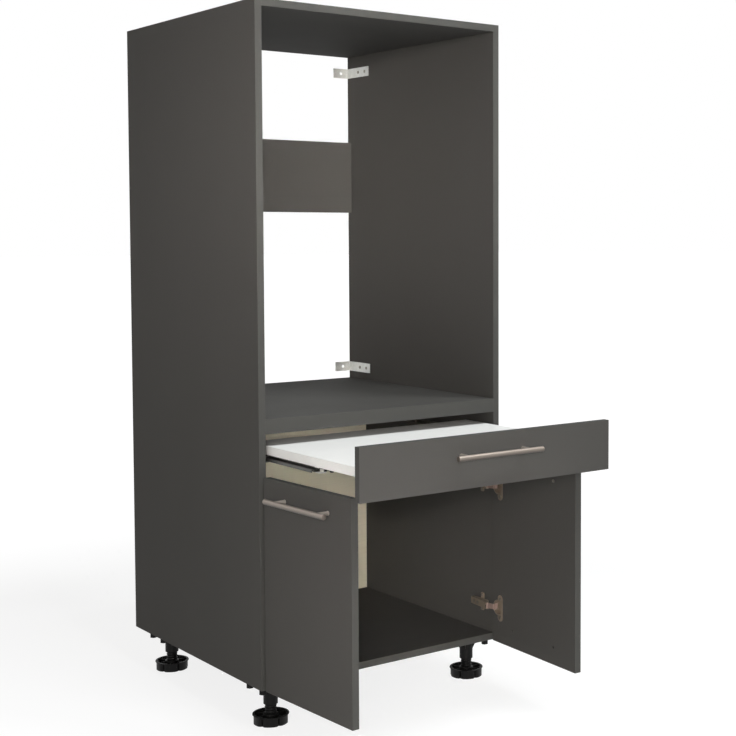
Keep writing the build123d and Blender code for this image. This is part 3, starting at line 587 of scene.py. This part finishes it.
def turned(profile: Array, steps: int = 48) -> Surface:
    """Turns a profile about Z: x = r cos t, y = r sin t, z = h for each profile point (r, h)."""
    turn = np.linspace(0, 2 * np.pi, steps, endpoint=False)[None, :]
    radius, height = profile[:, :1], profile[:, 1:]
    points = np.stack([radius * np.cos(turn), radius * np.sin(turn), height + 0 * turn], axis=-1)
    return Surface(points, closed_columns=True)


def slab(length: float, width: float, low: float, high: float, ease: float,
         steps: int = 4) -> Surface:
    """A flat bar with eased edges, lying on Z between two heights and centred on X and Y.

    One parameter runs up a profile that is drawn in by ease (1 - sin a) where it rises by
    ease (1 - cos a) from each flat face. The other runs round the rectangle, whose corners are
    rounded by the ease as well. Both ends close to the middle.

    Args:
        length, width: The sizes along X and Y.
        low, high: The heights of the two flat faces.
        ease: The radius of the eased edges.
        steps: How many points each quarter of a round has.

    Returns:
        The surface.
    """
    quarter = np.linspace(0, np.pi / 2, steps)
    inward = ease * (1 - np.sin(quarter))
    rise = ease * (1 - np.cos(quarter))
    heights = np.concatenate([[low], low + rise, high - rise[::-1], [high]])[:, None]
    insets = np.concatenate([[0], inward, inward[::-1], [0]])[:, None]
    share = np.ones_like(insets)
    share[[0, -1]] = 0
    angle = np.concatenate([quarter + step * np.pi / 2 for step in range(4)])
    x = np.repeat([1, -1, -1, 1], steps) * (length / 2 - ease) + ease * np.cos(angle)
    y = np.repeat([1, 1, -1, -1], steps) * (width / 2 - ease) + ease * np.sin(angle)
    points = np.stack([share * (x - insets * np.cos(angle)),
                       share * (y - insets * np.sin(angle)), heights + 0 * x], axis=-1)
    return Surface(points, closed_columns=True)


def ball(radius: float, steps: int = 16) -> Surface:
    """A ball: a half circle turned about Z."""
    rise = np.linspace(-np.pi / 2, np.pi / 2, steps // 2 + 1)
    return turned(np.stack([radius * np.cos(rise), radius * np.sin(rise)], axis=1), steps)


def placed(name: str, data: bpy.types.ID) -> bpy.types.Object:
    """A new object of the scene, with what it shows."""
    thing = bpy.data.objects.new(name, data)
    bpy.context.scene.collection.objects.link(thing)
    return thing


def merge(mesh: bpy.types.Mesh) -> None:
    """Merges the points where a surface closes and turns all normals out."""
    work = bmesh.new()
    work.from_mesh(mesh)
    bmesh.ops.remove_doubles(work, verts=work.verts, dist=MERGE_REACH)
    bmesh.ops.dissolve_degenerate(work, edges=work.edges, dist=SHORTEST_EDGE)
    bmesh.ops.recalc_face_normals(work, faces=work.faces)
    work.to_mesh(mesh)
    work.free()


def piece(name: str, surfaces: Sequence[Surface], finish: Finish, node: str,
          replaced: bool = True) -> None:
    """Makes one object from surfaces and lets it ride with a CAD node's body.

    Args:
        name: The piece's name.
        surfaces: Its surfaces, in the row frame.
        finish: Its finish.
        node: The CAD node that it stands for, or that it sits on.
        replaced: Whether the node is hidden.
    """
    starts = np.cumsum([0] + [surface.points.size // 3 for surface in surfaces])
    joined = [surface.corners() for surface in surfaces]
    points = np.concatenate([surface.points.reshape(-1, 3) for surface in surfaces])
    faces = np.concatenate([numbers + start for (numbers, _), start in zip(joined, starts)])
    texture = np.concatenate([surface.texture(unrolled)
                              for surface, (_, unrolled) in zip(surfaces, joined)])
    mesh = bpy.data.meshes.new(name)
    mesh.vertices.add(len(points))
    mesh.vertices.foreach_set("co", points.astype(np.float32).ravel())
    mesh.loops.add(faces.size)
    mesh.loops.foreach_set("vertex_index", faces.astype(np.int32).ravel())
    mesh.polygons.add(len(faces))
    mesh.polygons.foreach_set("loop_start", np.arange(0, faces.size, 4, dtype=np.int32))
    mesh.update(calc_edges=True)
    layer = mesh.uv_layers.new(name="length")
    layer.data.foreach_set("uv", texture.astype(np.float32).ravel())
    merge(mesh)
    mesh.shade_smooth()
    mesh.set_sharp_from_angle(angle=SHARP_ANGLE)
    mesh.materials.append(material_of(finish))
    thing = placed(name, mesh)
    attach(thing, frame["nodes"][node]["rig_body"])
    if replaced:
        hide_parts(node)
    LOG.info("%s: %d faces, %s", name, len(mesh.polygons), finish.name)


def dress(finish: Finish, *nodes: str) -> None:
    """Gives CAD nodes a finish in place of their plain one."""
    for node in nodes:
        materials = frame["nodes"][node].data.materials
        materials.clear()
        materials.append(material_of(finish))
        LOG.info("%s: %s", node, finish.name)


def middle_of(node: str) -> Array:
    """The middle of a CAD node's box."""
    low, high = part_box(node)
    return (np.array(low) + np.array(high)) / 2


@dataclass
class Screw:
    """A round-headed screw with a cross recess."""

    head_radius: float = 0.004
    head: float = 0.0018
    shank_radius: float = 0.002
    shank: float = 0.013
    fall: float = 0.35
    rim: Pair = (0.985, 0.3)
    recess: float = 0.0011
    slot: float = 0.0011
    reach: float = 0.62
    slot_fade: Pair = (0.5625, 1.1875)
    end_fade: Pair = (0.75, 1.0625)

    def surface(self, steps: int = 56, rings: int = 16) -> Surface:
        """Works the screw out with its head's seat at the origin and its head along Z.

        The head's height is head (1 - fall s^4) at the share s of its radius. From it goes the
        recess, where the smaller of |x| and |y| is under half the slot and the larger is inside
        the reach, a share of the radius. Each of the two limits fades over its own range. Below
        the seat the profile goes in to the shank and down to its tip. The rings lie closer
        together towards the rim, where the head is steeper.

        Args:
            steps: How many points go round.
            rings: How many rings the head's top has.

        Returns:
            The surface.
        """
        turn = np.linspace(0, 2 * np.pi, steps, endpoint=False)[None, :]
        share = np.linspace(0, 1, rings)[:, None] ** 0.8
        x = self.head_radius * share * np.cos(turn)
        y = self.head_radius * share * np.sin(turn)
        narrow = np.minimum(abs(x), abs(y)) / (self.slot / 2)
        wide = np.maximum(abs(x), abs(y)) / (self.reach * self.head_radius)
        pressed = np.interp(narrow, self.slot_fade, (1, 0)) * np.interp(wide, self.end_fade, (1, 0))
        dome = self.head * (1 - self.fall * share ** 4) - self.recess * pressed
        top = np.stack([x, y, dome], axis=-1)
        low = np.array([(self.head_radius, self.head * self.rim[1]),
                        (self.head_radius * self.rim[0], 0.0), (self.shank_radius, 0.0),
                        (self.shank_radius, -self.shank + self.shank_radius), (0.0, -self.shank)])
        return Surface(np.concatenate([top, turned(low, steps).points]), closed_columns=True)


@dataclass
class BarHandle:
    """A round bar on two turned posts, with its two screws from behind the front."""

    prefix: str
    along: Point
    outward: Point
    radius: float = 0.006
    length: float = 0.22
    spacing: float = 0.16
    reach: float = 0.03
    board: float = 0.016
    post_radius: float = 0.005
    sunk: float = 0.45
    chamfer: float = 0.0005
    end_ring: float = 0.6
    fillet: float = 0.0004
    fade: float = 0.0008
    screw_head: float = 0.002
    screw_grip: float = 0.014

    def bar(self, middle: Array) -> Surface:
        """The bar: a profile with chamfered ends, turned about its length."""
        half = self.length / 2
        edge = self.radius - self.chamfer
        ends = [(0, -half), (edge * self.end_ring, -half), (edge, -half),
                (self.radius, -half + self.chamfer)]
        rows = np.linspace(-half + 2 * self.chamfer, half - 2 * self.chamfer, 24)
        body = [(self.radius, float(row)) for row in rows]
        profile = ends + body + [(radius, -height) for radius, height in reversed(ends)]
        return turned(np.array(profile), 64).stood(middle, self.along)

    def post(self, foot: Array) -> Surface:
        """A post, sunk in the bar. A fillet widens both of its ends by exp(-h/fade)."""
        shown = self.reach - self.radius
        top = shown + self.radius * self.sunk
        height = np.linspace(0, top, 28)
        flare = np.exp(-height / self.fade) + np.exp(-np.abs(shown - height) / self.fade)
        radius = self.post_radius - self.fillet + self.fillet * np.clip(flare, 0, 1)
        profile = np.concatenate([[(0, 0)], np.stack([radius, height], axis=1), [(0, top)]])
        return turned(profile, 48).stood(foot, self.outward)

    def build(self) -> None:
        """Makes the bar, the posts and the screws where their CAD nodes are."""
        along, outward = np.array(self.along), np.array(self.outward)
        bar, posts, screws = (f"{self.prefix}_{part}" for part in ("bar", "posts", "screws"))
        middle = middle_of(bar)
        feet = [middle - outward * self.reach + along * sign * self.spacing / 2
                for sign in (-1, 1)]
        piece(f"{bar}_brushed", [self.bar(middle)], BAR_NICKEL, bar)
        piece(f"{posts}_turned", [self.post(foot) for foot in feet], POST_NICKEL, posts)
        screw = Screw(head=self.screw_head, shank=self.board + self.screw_grip).surface()
        stood = [screw.stood(foot - outward * self.board, -outward) for foot in feet]
        piece(f"{screws}_recessed", stood, SCREW_STEEL, screws)


@dataclass
class Carcass:
    """The fixed boards, with the wall brackets and what holds them."""

    inner: float = 0.309
    bracket_sheet: float = 0.002
    bracket_heights: Pair = (0.715, 1.515)
    bracket_screws: Pair = (0.483, 0.451)

    def build(self) -> None:
        """Dresses the boards and brackets, and makes the brackets' screws."""
        dress(UPRIGHT_GRAPHITE, "left_side_panel", "right_side_panel")
        dress(LEVEL_GRAPHITE, "top_panel", "appliance_floor", "bottom_panel")
        dress(FRONT_GRAPHITE, "rear_rail")
        dress(BACK_BOARD, "lower_back")
        for side in Side:
            dress(ZINC, f"{side.word}_lower_wall_bracket", f"{side.word}_upper_wall_bracket")
        screw = Screw().surface()
        face = self.inner - self.bracket_sheet
        screws = [screw.stood((side.value * face, y, z), side.inward)
                  for side in Side for y in self.bracket_screws for z in self.bracket_heights]
        piece("bracket_screws_recessed", screws, SCREW_STEEL, "bracket_screws")


@dataclass
class Clip:
    """The moulded clip in front of one shelf rail: a pale deep catch and a slim black lever."""

    side: Side
    inner: float = 0.279
    wall: float = 0.0052
    width: float = 0.018
    web: float = 0.0012
    lip: float = 0.0163
    low: float = 0.5916
    high: float = 0.604
    lever_low: float = 0.598
    front: float = -0.337
    catch: float = -0.3085
    back: float = -0.291
    ease: float = 0.0006
    ribs: int = 5
    rib_half: float = 0.0006
    rib_root: float = 0.001
    rib_margin: Pair = (0.003, 0.0015)
    pad: Pair = (0.008, 0.002)
    heel: Point = (0.002, 0.004, 0.003)

    def bar(self, across: Pair, along: Pair, up: Pair) -> Surface:
        """A bar with eased edges between two values across (counted outward), along and up."""
        height = up[1] - up[0]
        low = slab(along[1] - along[0], across[1] - across[0], 0.0, height,
                   min(self.ease, 0.45 * height))
        middle = (self.side.value * (across[0] + across[1]) / 2, (along[0] + along[1]) / 2, up[0])
        return low.stood(middle, UP, TO_WALL)

    def build(self) -> None:
        """Makes the catch with its grip ribs, and the lever with its thumb pad and heel."""
        name = f"{self.side.word}_shelf_clip"
        wall = (self.inner, self.inner + self.wall)
        whole = (self.inner, self.inner + self.width)
        web = (self.high - self.web, self.high)
        catch = (self.catch, self.back)
        surfaces = [self.bar(wall, catch, (self.low, self.high)), self.bar(whole, catch, web),
                    self.bar((self.inner, self.inner + self.lip), catch,
                             (self.low, self.low + self.web))]
        end, edge = self.rib_margin
        surfaces += [self.bar((self.inner - self.rib_half, self.inner + self.rib_root),
                              (row - self.rib_half, row + self.rib_half),
                              (self.low + edge, self.high - edge))
                     for row in np.linspace(self.catch + end, self.back - end, self.ribs)]
        piece(f"{name}_catch", surfaces, WHITE_PLASTIC, name)
        lever = (self.front, self.catch)
        out, long, deep = self.heel
        surfaces = [self.bar(wall, lever, (self.lever_low, self.high)), self.bar(whole, lever, web),
                    self.bar(wall, (self.front, self.front + self.pad[0]),
                             (self.lever_low - self.pad[1], self.lever_low)),
                    self.bar((wall[0], wall[1] + out), (self.catch - long, self.catch),
                             (self.lever_low - deep, self.lever_low))]
        piece(f"{name}_lever", surfaces, BLACK_PLASTIC, name)


@dataclass
class Shelf:
    """The pull-out shelf with its front, handle, clips and slides."""

    inner: float = 0.309
    sheet: float = 0.0012
    rail_height: float = 0.5956
    rail_screws: tuple[float, ...] = (-0.072, 0.064, 0.216)
    ball_radius: float = 0.0006
    ball_count: int = 14
    cage_width: float = 0.0044
    cage_length: float = 0.06
    cage_half: float = 0.0003
    cage_ease: float = 0.00025
    cage_end: float = 0.003
    strips: tuple[Point, ...] = (
        (0.3034, 0.0785, 0.5917), (0.3034, -0.0415, 0.5917), (0.3034, 0.0785, 0.5995),
        (0.3034, -0.0415, 0.5995), (0.2888, -0.0723, 0.5937), (0.2888, -0.0723, 0.6019))

    def cage(self, middle: Array) -> Surface:
        """The thin strip that keeps one row of balls apart."""
        strip = slab(self.cage_length, self.cage_width, -self.cage_half, self.cage_half,
                     self.cage_ease)
        return strip.stood(middle, UP, TO_WALL)

    def balls(self, middle: Array) -> list[Surface]:
        """One row of balls, evenly spread along a strip."""
        reach = self.cage_length / 2 - self.cage_end
        rows = np.linspace(-reach, reach, self.ball_count)
        return [ball(self.ball_radius, 12).stood(middle + np.array((0, row, 0)), UP)
                for row in rows]

    def build(self) -> None:
        """Dresses the boards and rails, and makes the handle, the balls and the screws."""
        dress(FRONT_GRAPHITE, "shelf_front")
        dress(WHITE_BOARD, "shelf_board")
        BarHandle("shelf_handle", ACROSS, TO_ROOM).build()
        for side in Side:
            rails = [f"{side.word}_{place}_rail" for place in ("cabinet", "middle", "shelf")]
            dress(RAIL_STEEL, *rails)
            Clip(side).build()
            middles = [np.array((side.value * x, y, z)) for x, y, z in self.strips]
            glides = f"{side.word}_rail_glides"
            cages = [self.cage(middle) for middle in middles]
            piece(f"{side.word}_rail_cages", cages, WHITE_PLASTIC, glides)
            balls = [surface for middle in middles for surface in self.balls(middle)]
            piece(f"{side.word}_rail_balls", balls, PIN_STEEL, glides, replaced=False)
        screw = Screw().surface()
        face = self.inner - self.sheet
        screws = [screw.stood((side.value * face, y, self.rail_height), side.inward)
                  for side in Side for y in self.rail_screws]
        piece("slide_screws_recessed", screws, SCREW_STEEL, "slide_screws")


@dataclass
class Door:
    """One open door with its handle, cups and links."""

    side: Side

    def build(self) -> None:
        """Dresses the board, the cups and the links, and makes the handle.

        The open door's face looks outward by its angle, and the handle runs from the hinged
        edge to the free one.
        """
        word, sign = self.side.word, self.side.value
        dress(DOOR_GRAPHITE[self.side], f"{word}_door")
        dress(HINGE_NICKEL, f"{word}_hinge_cups")
        dress(LINK_NICKEL, f"{word}_hinge_links")
        dress(PIN_STEEL, f"{word}_cup_pins")
        dress(SCREW_STEEL, f"{word}_cup_screws")
        along, outward = (-sign * COSINE, -SINE, 0.0), (sign * SINE, -COSINE, 0.0)
        BarHandle(f"{word}_door_handle", along, outward).build()


@dataclass
class HingeMounts:
    """What stays on the side panels of the hinges: plates, arms, pins and screws."""

    def build(self) -> None:
        """Dresses the plates, arms, pins and screws."""
        dress(HINGE_NICKEL, "hinge_plates", "left_hinge_arms", "right_hinge_arms")
        dress(PIN_STEEL, "arm_pins")
        dress(SCREW_STEEL, "hinge_screws")


@dataclass
class Foot:
    """One levelling foot: a lobed drum with a lip, ribs in its open top and a threaded stem."""

    side: Side
    end: str
    y: float
    x: float = 0.27
    lip_radius: float = 0.0405
    lip: float = 0.002
    lip_depth: float = 0.001
    wall: float = 0.003
    height: float = 0.021
    base: float = 0.004
    hollow: float = 0.001
    ring: float = 0.005
    hub_radius: float = 0.017
    lobes: int = 6
    notch: float = 0.006
    notch_limits: Pair = (0.0004, 0.0005)
    stem_radius: float = 0.01325
    stem_top: float = 0.075
    socket_bottom: float = 0.043
    thread: float = 0.0013
    pitch: float = 0.006
    thread_ends: Pair = (0.0005, 0.0003)
    chamfer: float = 0.001
    rib: float = 0.0024
    rib_ease: float = 0.0006
    rib_root: float = 0.001
    ease: float = 0.0007

    def body(self, steps: int = 192) -> Surface:
        """Works out the drum, hub and stem as one turned surface.

        A profile point (r, h) goes round by the angle t with radius
        r - notch k n(t) - thread g (0.5 + 0.5 cos(2 pi h / pitch - t)), where k is 1 on the
        drum's wall below its lip, g is 1 on the bare stem, and both are 0 elsewhere. The
        notches between the bulging lobes are n(t) = 0.75 c^18 + 0.25 c^2, with
        c = max(0, cos(lobes t + pi)).

        Args:
            steps: How many points go round.

        Returns:
            The surface, standing on the floor round Z.
        """
        outer = self.lip_radius - self.lip
        inner = outer - self.wall
        under = self.height - self.lip
        drum = eased([(0, self.hollow), (outer - self.ring - self.hollow, self.hollow),
                      (outer - self.ring, 0), (outer, 0), (outer, under),
                      (self.lip_radius, under), (self.lip_radius, self.height),
                      (inner, self.height), (inner, under - self.lip_depth), (inner, self.base),
                      (self.hub_radius, self.base), (self.hub_radius, self.height),
                      (self.stem_radius, self.height)], self.ease)
        first, last = self.thread_ends
        bare = np.linspace(self.height + first, self.socket_bottom - last, 40)
        stem = np.stack([np.full_like(bare, self.stem_radius), bare], axis=1)
        top = [(self.stem_radius, self.socket_bottom + self.chamfer),
               (self.stem_radius, self.stem_top - self.chamfer),
               (self.stem_radius - self.chamfer, self.stem_top), (0, self.stem_top)]
        profile = np.concatenate([drum, stem, top])
        radius, height = profile[:, :1], profile[:, 1:]
        inside, below = self.notch_limits
        walls = (radius > inner - inside) & (height < under - below)
        threads = np.zeros_like(radius)
        threads[len(drum):len(drum) + len(stem)] = 1
        turn = np.linspace(0, 2 * np.pi, steps, endpoint=False)[None, :]
        between = np.maximum(0, np.cos(self.lobes * turn + np.pi))
        notched = 0.75 * between ** 18 + 0.25 * between ** 2
        wave = 0.5 + 0.5 * np.cos(2 * np.pi * height / self.pitch - turn)
        reach = radius - self.notch * walls * notched - self.thread * threads * wave
        points = np.stack([reach * np.cos(turn), reach * np.sin(turn), height + 0 * turn], axis=-1)
        return Surface(points, closed_columns=True)

    def ribs(self, middle: Array) -> list[Surface]:
        """The ribs between the hub and the wall, spread evenly round."""
        start = self.hub_radius - self.rib_root
        end = self.lip_radius - self.lip - self.wall / 2
        rib = slab(end - start, self.rib, self.base / 2, self.height - self.lip, self.rib_ease)
        turns = np.linspace(0, 2 * np.pi, self.lobes, endpoint=False)
        outs = [np.array((math.cos(turn), math.sin(turn), 0.0)) for turn in turns]
        return [rib.stood(middle + out * (start + end) / 2, UP, out) for out in outs]

    def build(self) -> None:
        """Makes the foot and dresses its socket."""
        name = f"{self.side.word}_{self.end}_foot"
        middle = np.array((self.side.value * self.x, self.y, 0.0))
        surfaces = [self.body().stood(middle, UP, ACROSS)] + self.ribs(middle)
        piece(f"{name}_moulded", surfaces, BLACK_PLASTIC, name)
        dress(BLACK_PLASTIC, f"{name}_socket")


@dataclass
class Feet:
    """The four feet and the screws of their sockets."""

    front: float = -0.049
    back: float = 0.451
    lug_x: float = 0.305
    lug_half: float = 0.029
    lug_low: float = 0.077
    screw: float = 0.031

    def build(self) -> None:
        """Makes each foot, and the screws through the lugs."""
        for side in Side:
            Foot(side, "front", self.front).build()
            Foot(side, "back", self.back).build()
        shape = Screw(shank=self.screw).surface()
        places = [(side.value * self.lug_x, y + sign * self.lug_half, self.lug_low)
                  for side in Side for y in (self.front, self.back) for sign in (-1, 1)]
        screws = [shape.stood(place, DOWN) for place in places]
        piece("foot_screws_recessed", screws, SCREW_STEEL, "foot_screws")


def aim(thing: bpy.types.Object, place: Point, direction: Vector) -> None:
    """Puts a camera or lamp at a place and turns it along a direction."""
    thing.location = place
    thing.rotation_mode = "QUATERNION"
    thing.rotation_quaternion = direction.to_track_quat("-Z", "Y")


@dataclass(frozen=True)
class Lamp:
    """A square lamp: its place, the point it looks at, side, watts, colour and beam's angle."""

    name: str
    place: Point
    target: Point
    size: float
    power: float
    colour: Point
    beam: float = 180.0

    def hang(self) -> None:
        """Adds the lamp to the scene."""
        data = bpy.data.lights.new(self.name, "AREA")
        data.size = self.size
        data.energy = self.power
        data.color = self.colour
        data.spread = math.radians(self.beam)
        aim(placed(self.name, data), self.place, Vector(self.target) - Vector(self.place))


WHITE = (1.0, 1.0, 1.0)
COOL = (0.96, 0.99, 1.0)
WARM = (1.0, 0.945, 0.885)
LAMPS = (
    Lamp("key", (1.7, -1.9, 4.0), (0.0, -0.2, 0.6), 1.0, 62.0, COOL),
    Lamp("front", (-0.3, -4.4, 1.2), (0.0, 0.0, 0.7), 1.2, 12.0, COOL),
    Lamp("fill", (-2.45, -3.2, 1.2), (0.0, 0.0, 0.75), 1.4, 72.0, WARM),
    Lamp("overhead", (0.0, -1.8, 4.3), (0.0, -0.2, 0.6), 1.2, 82.0, COOL),
    Lamp("bay", (-1.95, -3.7, 1.5), (0.08, 0.2, 1.25), 0.7, 2.2, WARM, 14.0),
    Lamp("cupboard", (-2.3, -3.75, 1.3), (0.25, 0.1, 0.17), 0.6, 0.46, WARM, 7.0),
    Lamp("back", (-0.4, -4.5, 0.3), (0.05, 0.45, 0.24), 0.4, 0.2, WARM, 7.0),
)


@dataclass
class Studio:
    """The pale floor, the light and the camera."""

    camera_place: Point = (-1.7713, -2.7802, 1.0804)
    yaw: float = 38.588
    pitch: float = -3.266
    lens: float = 69.05
    sensor: float = 36.0
    sight: float = 200.0
    shift: Pair = (-0.193, -0.0734)
    floor_reach: float = 60.0
    floor_lines: int = 25
    floor_drop: float = 0.0002
    floor_level: float = 0.82
    floor_fade: Pair = (1.4, 3.2)
    shadow_grey: Point = tone(138, 138, 138)
    floor_grey: Point = tone(225, 225, 225)
    sky_level: float = 0.2

    def camera(self) -> None:
        """Sets the camera at the photograph's viewing angle."""
        data = bpy.data.cameras.new("camera")
        data.lens = self.lens
        data.sensor_width = self.sensor
        data.shift_x, data.shift_y = self.shift
        data.clip_end = self.sight
        yaw, pitch = math.radians(self.yaw), math.radians(self.pitch)
        forward = Vector((math.sin(yaw) * math.cos(pitch), math.cos(yaw) * math.cos(pitch),
                          math.sin(pitch)))
        thing = placed("camera", data)
        aim(thing, self.camera_place, forward)
        bpy.context.scene.camera = thing

    def floor_paint(self) -> bpy.types.Material:
        """White floor that keeps the shadow near the object and fades to plain white far away."""
        material = bpy.data.materials.new("studio floor")
        wiring = Wiring(material, "ShaderNodeMixShader")
        away = wiring.add("ShaderNodeVectorMath", {0: wiring.coordinates()}, operation="LENGTH")
        far = wiring.spread(away.outputs["Value"], self.floor_level, 1.0, *self.floor_fade)
        glow = wiring.add("ShaderNodeEmission", {"Strength": far})
        matt = wiring.add("ShaderNodeBsdfDiffuse", {"Color": self.shadow_grey})
        lit = wiring.add("ShaderNodeAddShader", {0: glow.outputs[0], 1: matt.outputs[0]})
        plain = wiring.add("ShaderNodeBsdfDiffuse", {"Color": self.floor_grey})
        for index, value in enumerate((wiring.seen(), plain.outputs[0], lit.outputs[0])):
            wiring.put(wiring.shader.inputs[index], value)
        return material

    def floor(self) -> None:
        """Lays the floor: a square grid just under the feet."""
        line = np.linspace(-self.floor_reach, self.floor_reach, self.floor_lines)
        x, y = np.meshgrid(line, line, indexing="ij")
        points = np.stack([x, y, 0 * x - self.floor_drop], axis=-1)
        numbers, _ = Surface(points).corners()
        mesh = bpy.data.meshes.new("studio_floor")
        mesh.from_pydata(points.reshape(-1, 3).tolist(), [], numbers.tolist())
        mesh.materials.append(self.floor_paint())
        placed("studio_floor", mesh)

    def sky(self) -> None:
        """Lights everything evenly, and looks plain white to the camera and in mirrors."""
        world = bpy.data.worlds.new("studio")
        wiring = Wiring(world, "ShaderNodeBackground")
        level = wiring.spread(wiring.seen(), self.sky_level, 1.0, 0.0, 1.0)
        wiring.set(Color=WHITE, Strength=level)
        bpy.context.scene.world = world

    def build(self) -> None:
        """Sets up the whole studio."""
        self.camera()
        self.floor()
        self.sky()
        for lamp in LAMPS:
            lamp.hang()
        bpy.context.scene.view_settings.view_transform = "Standard"


def main() -> None:
    """Builds the studio and each sub-assembly in order."""
    logging.basicConfig(level=logging.INFO, format="%(message)s")
    Studio().build()
    Carcass().build()
    Shelf().build()
    for side in Side:
        Door(side).build()
    HingeMounts().build()
    Feet().build()


if __name__ == "__main__":
    main()
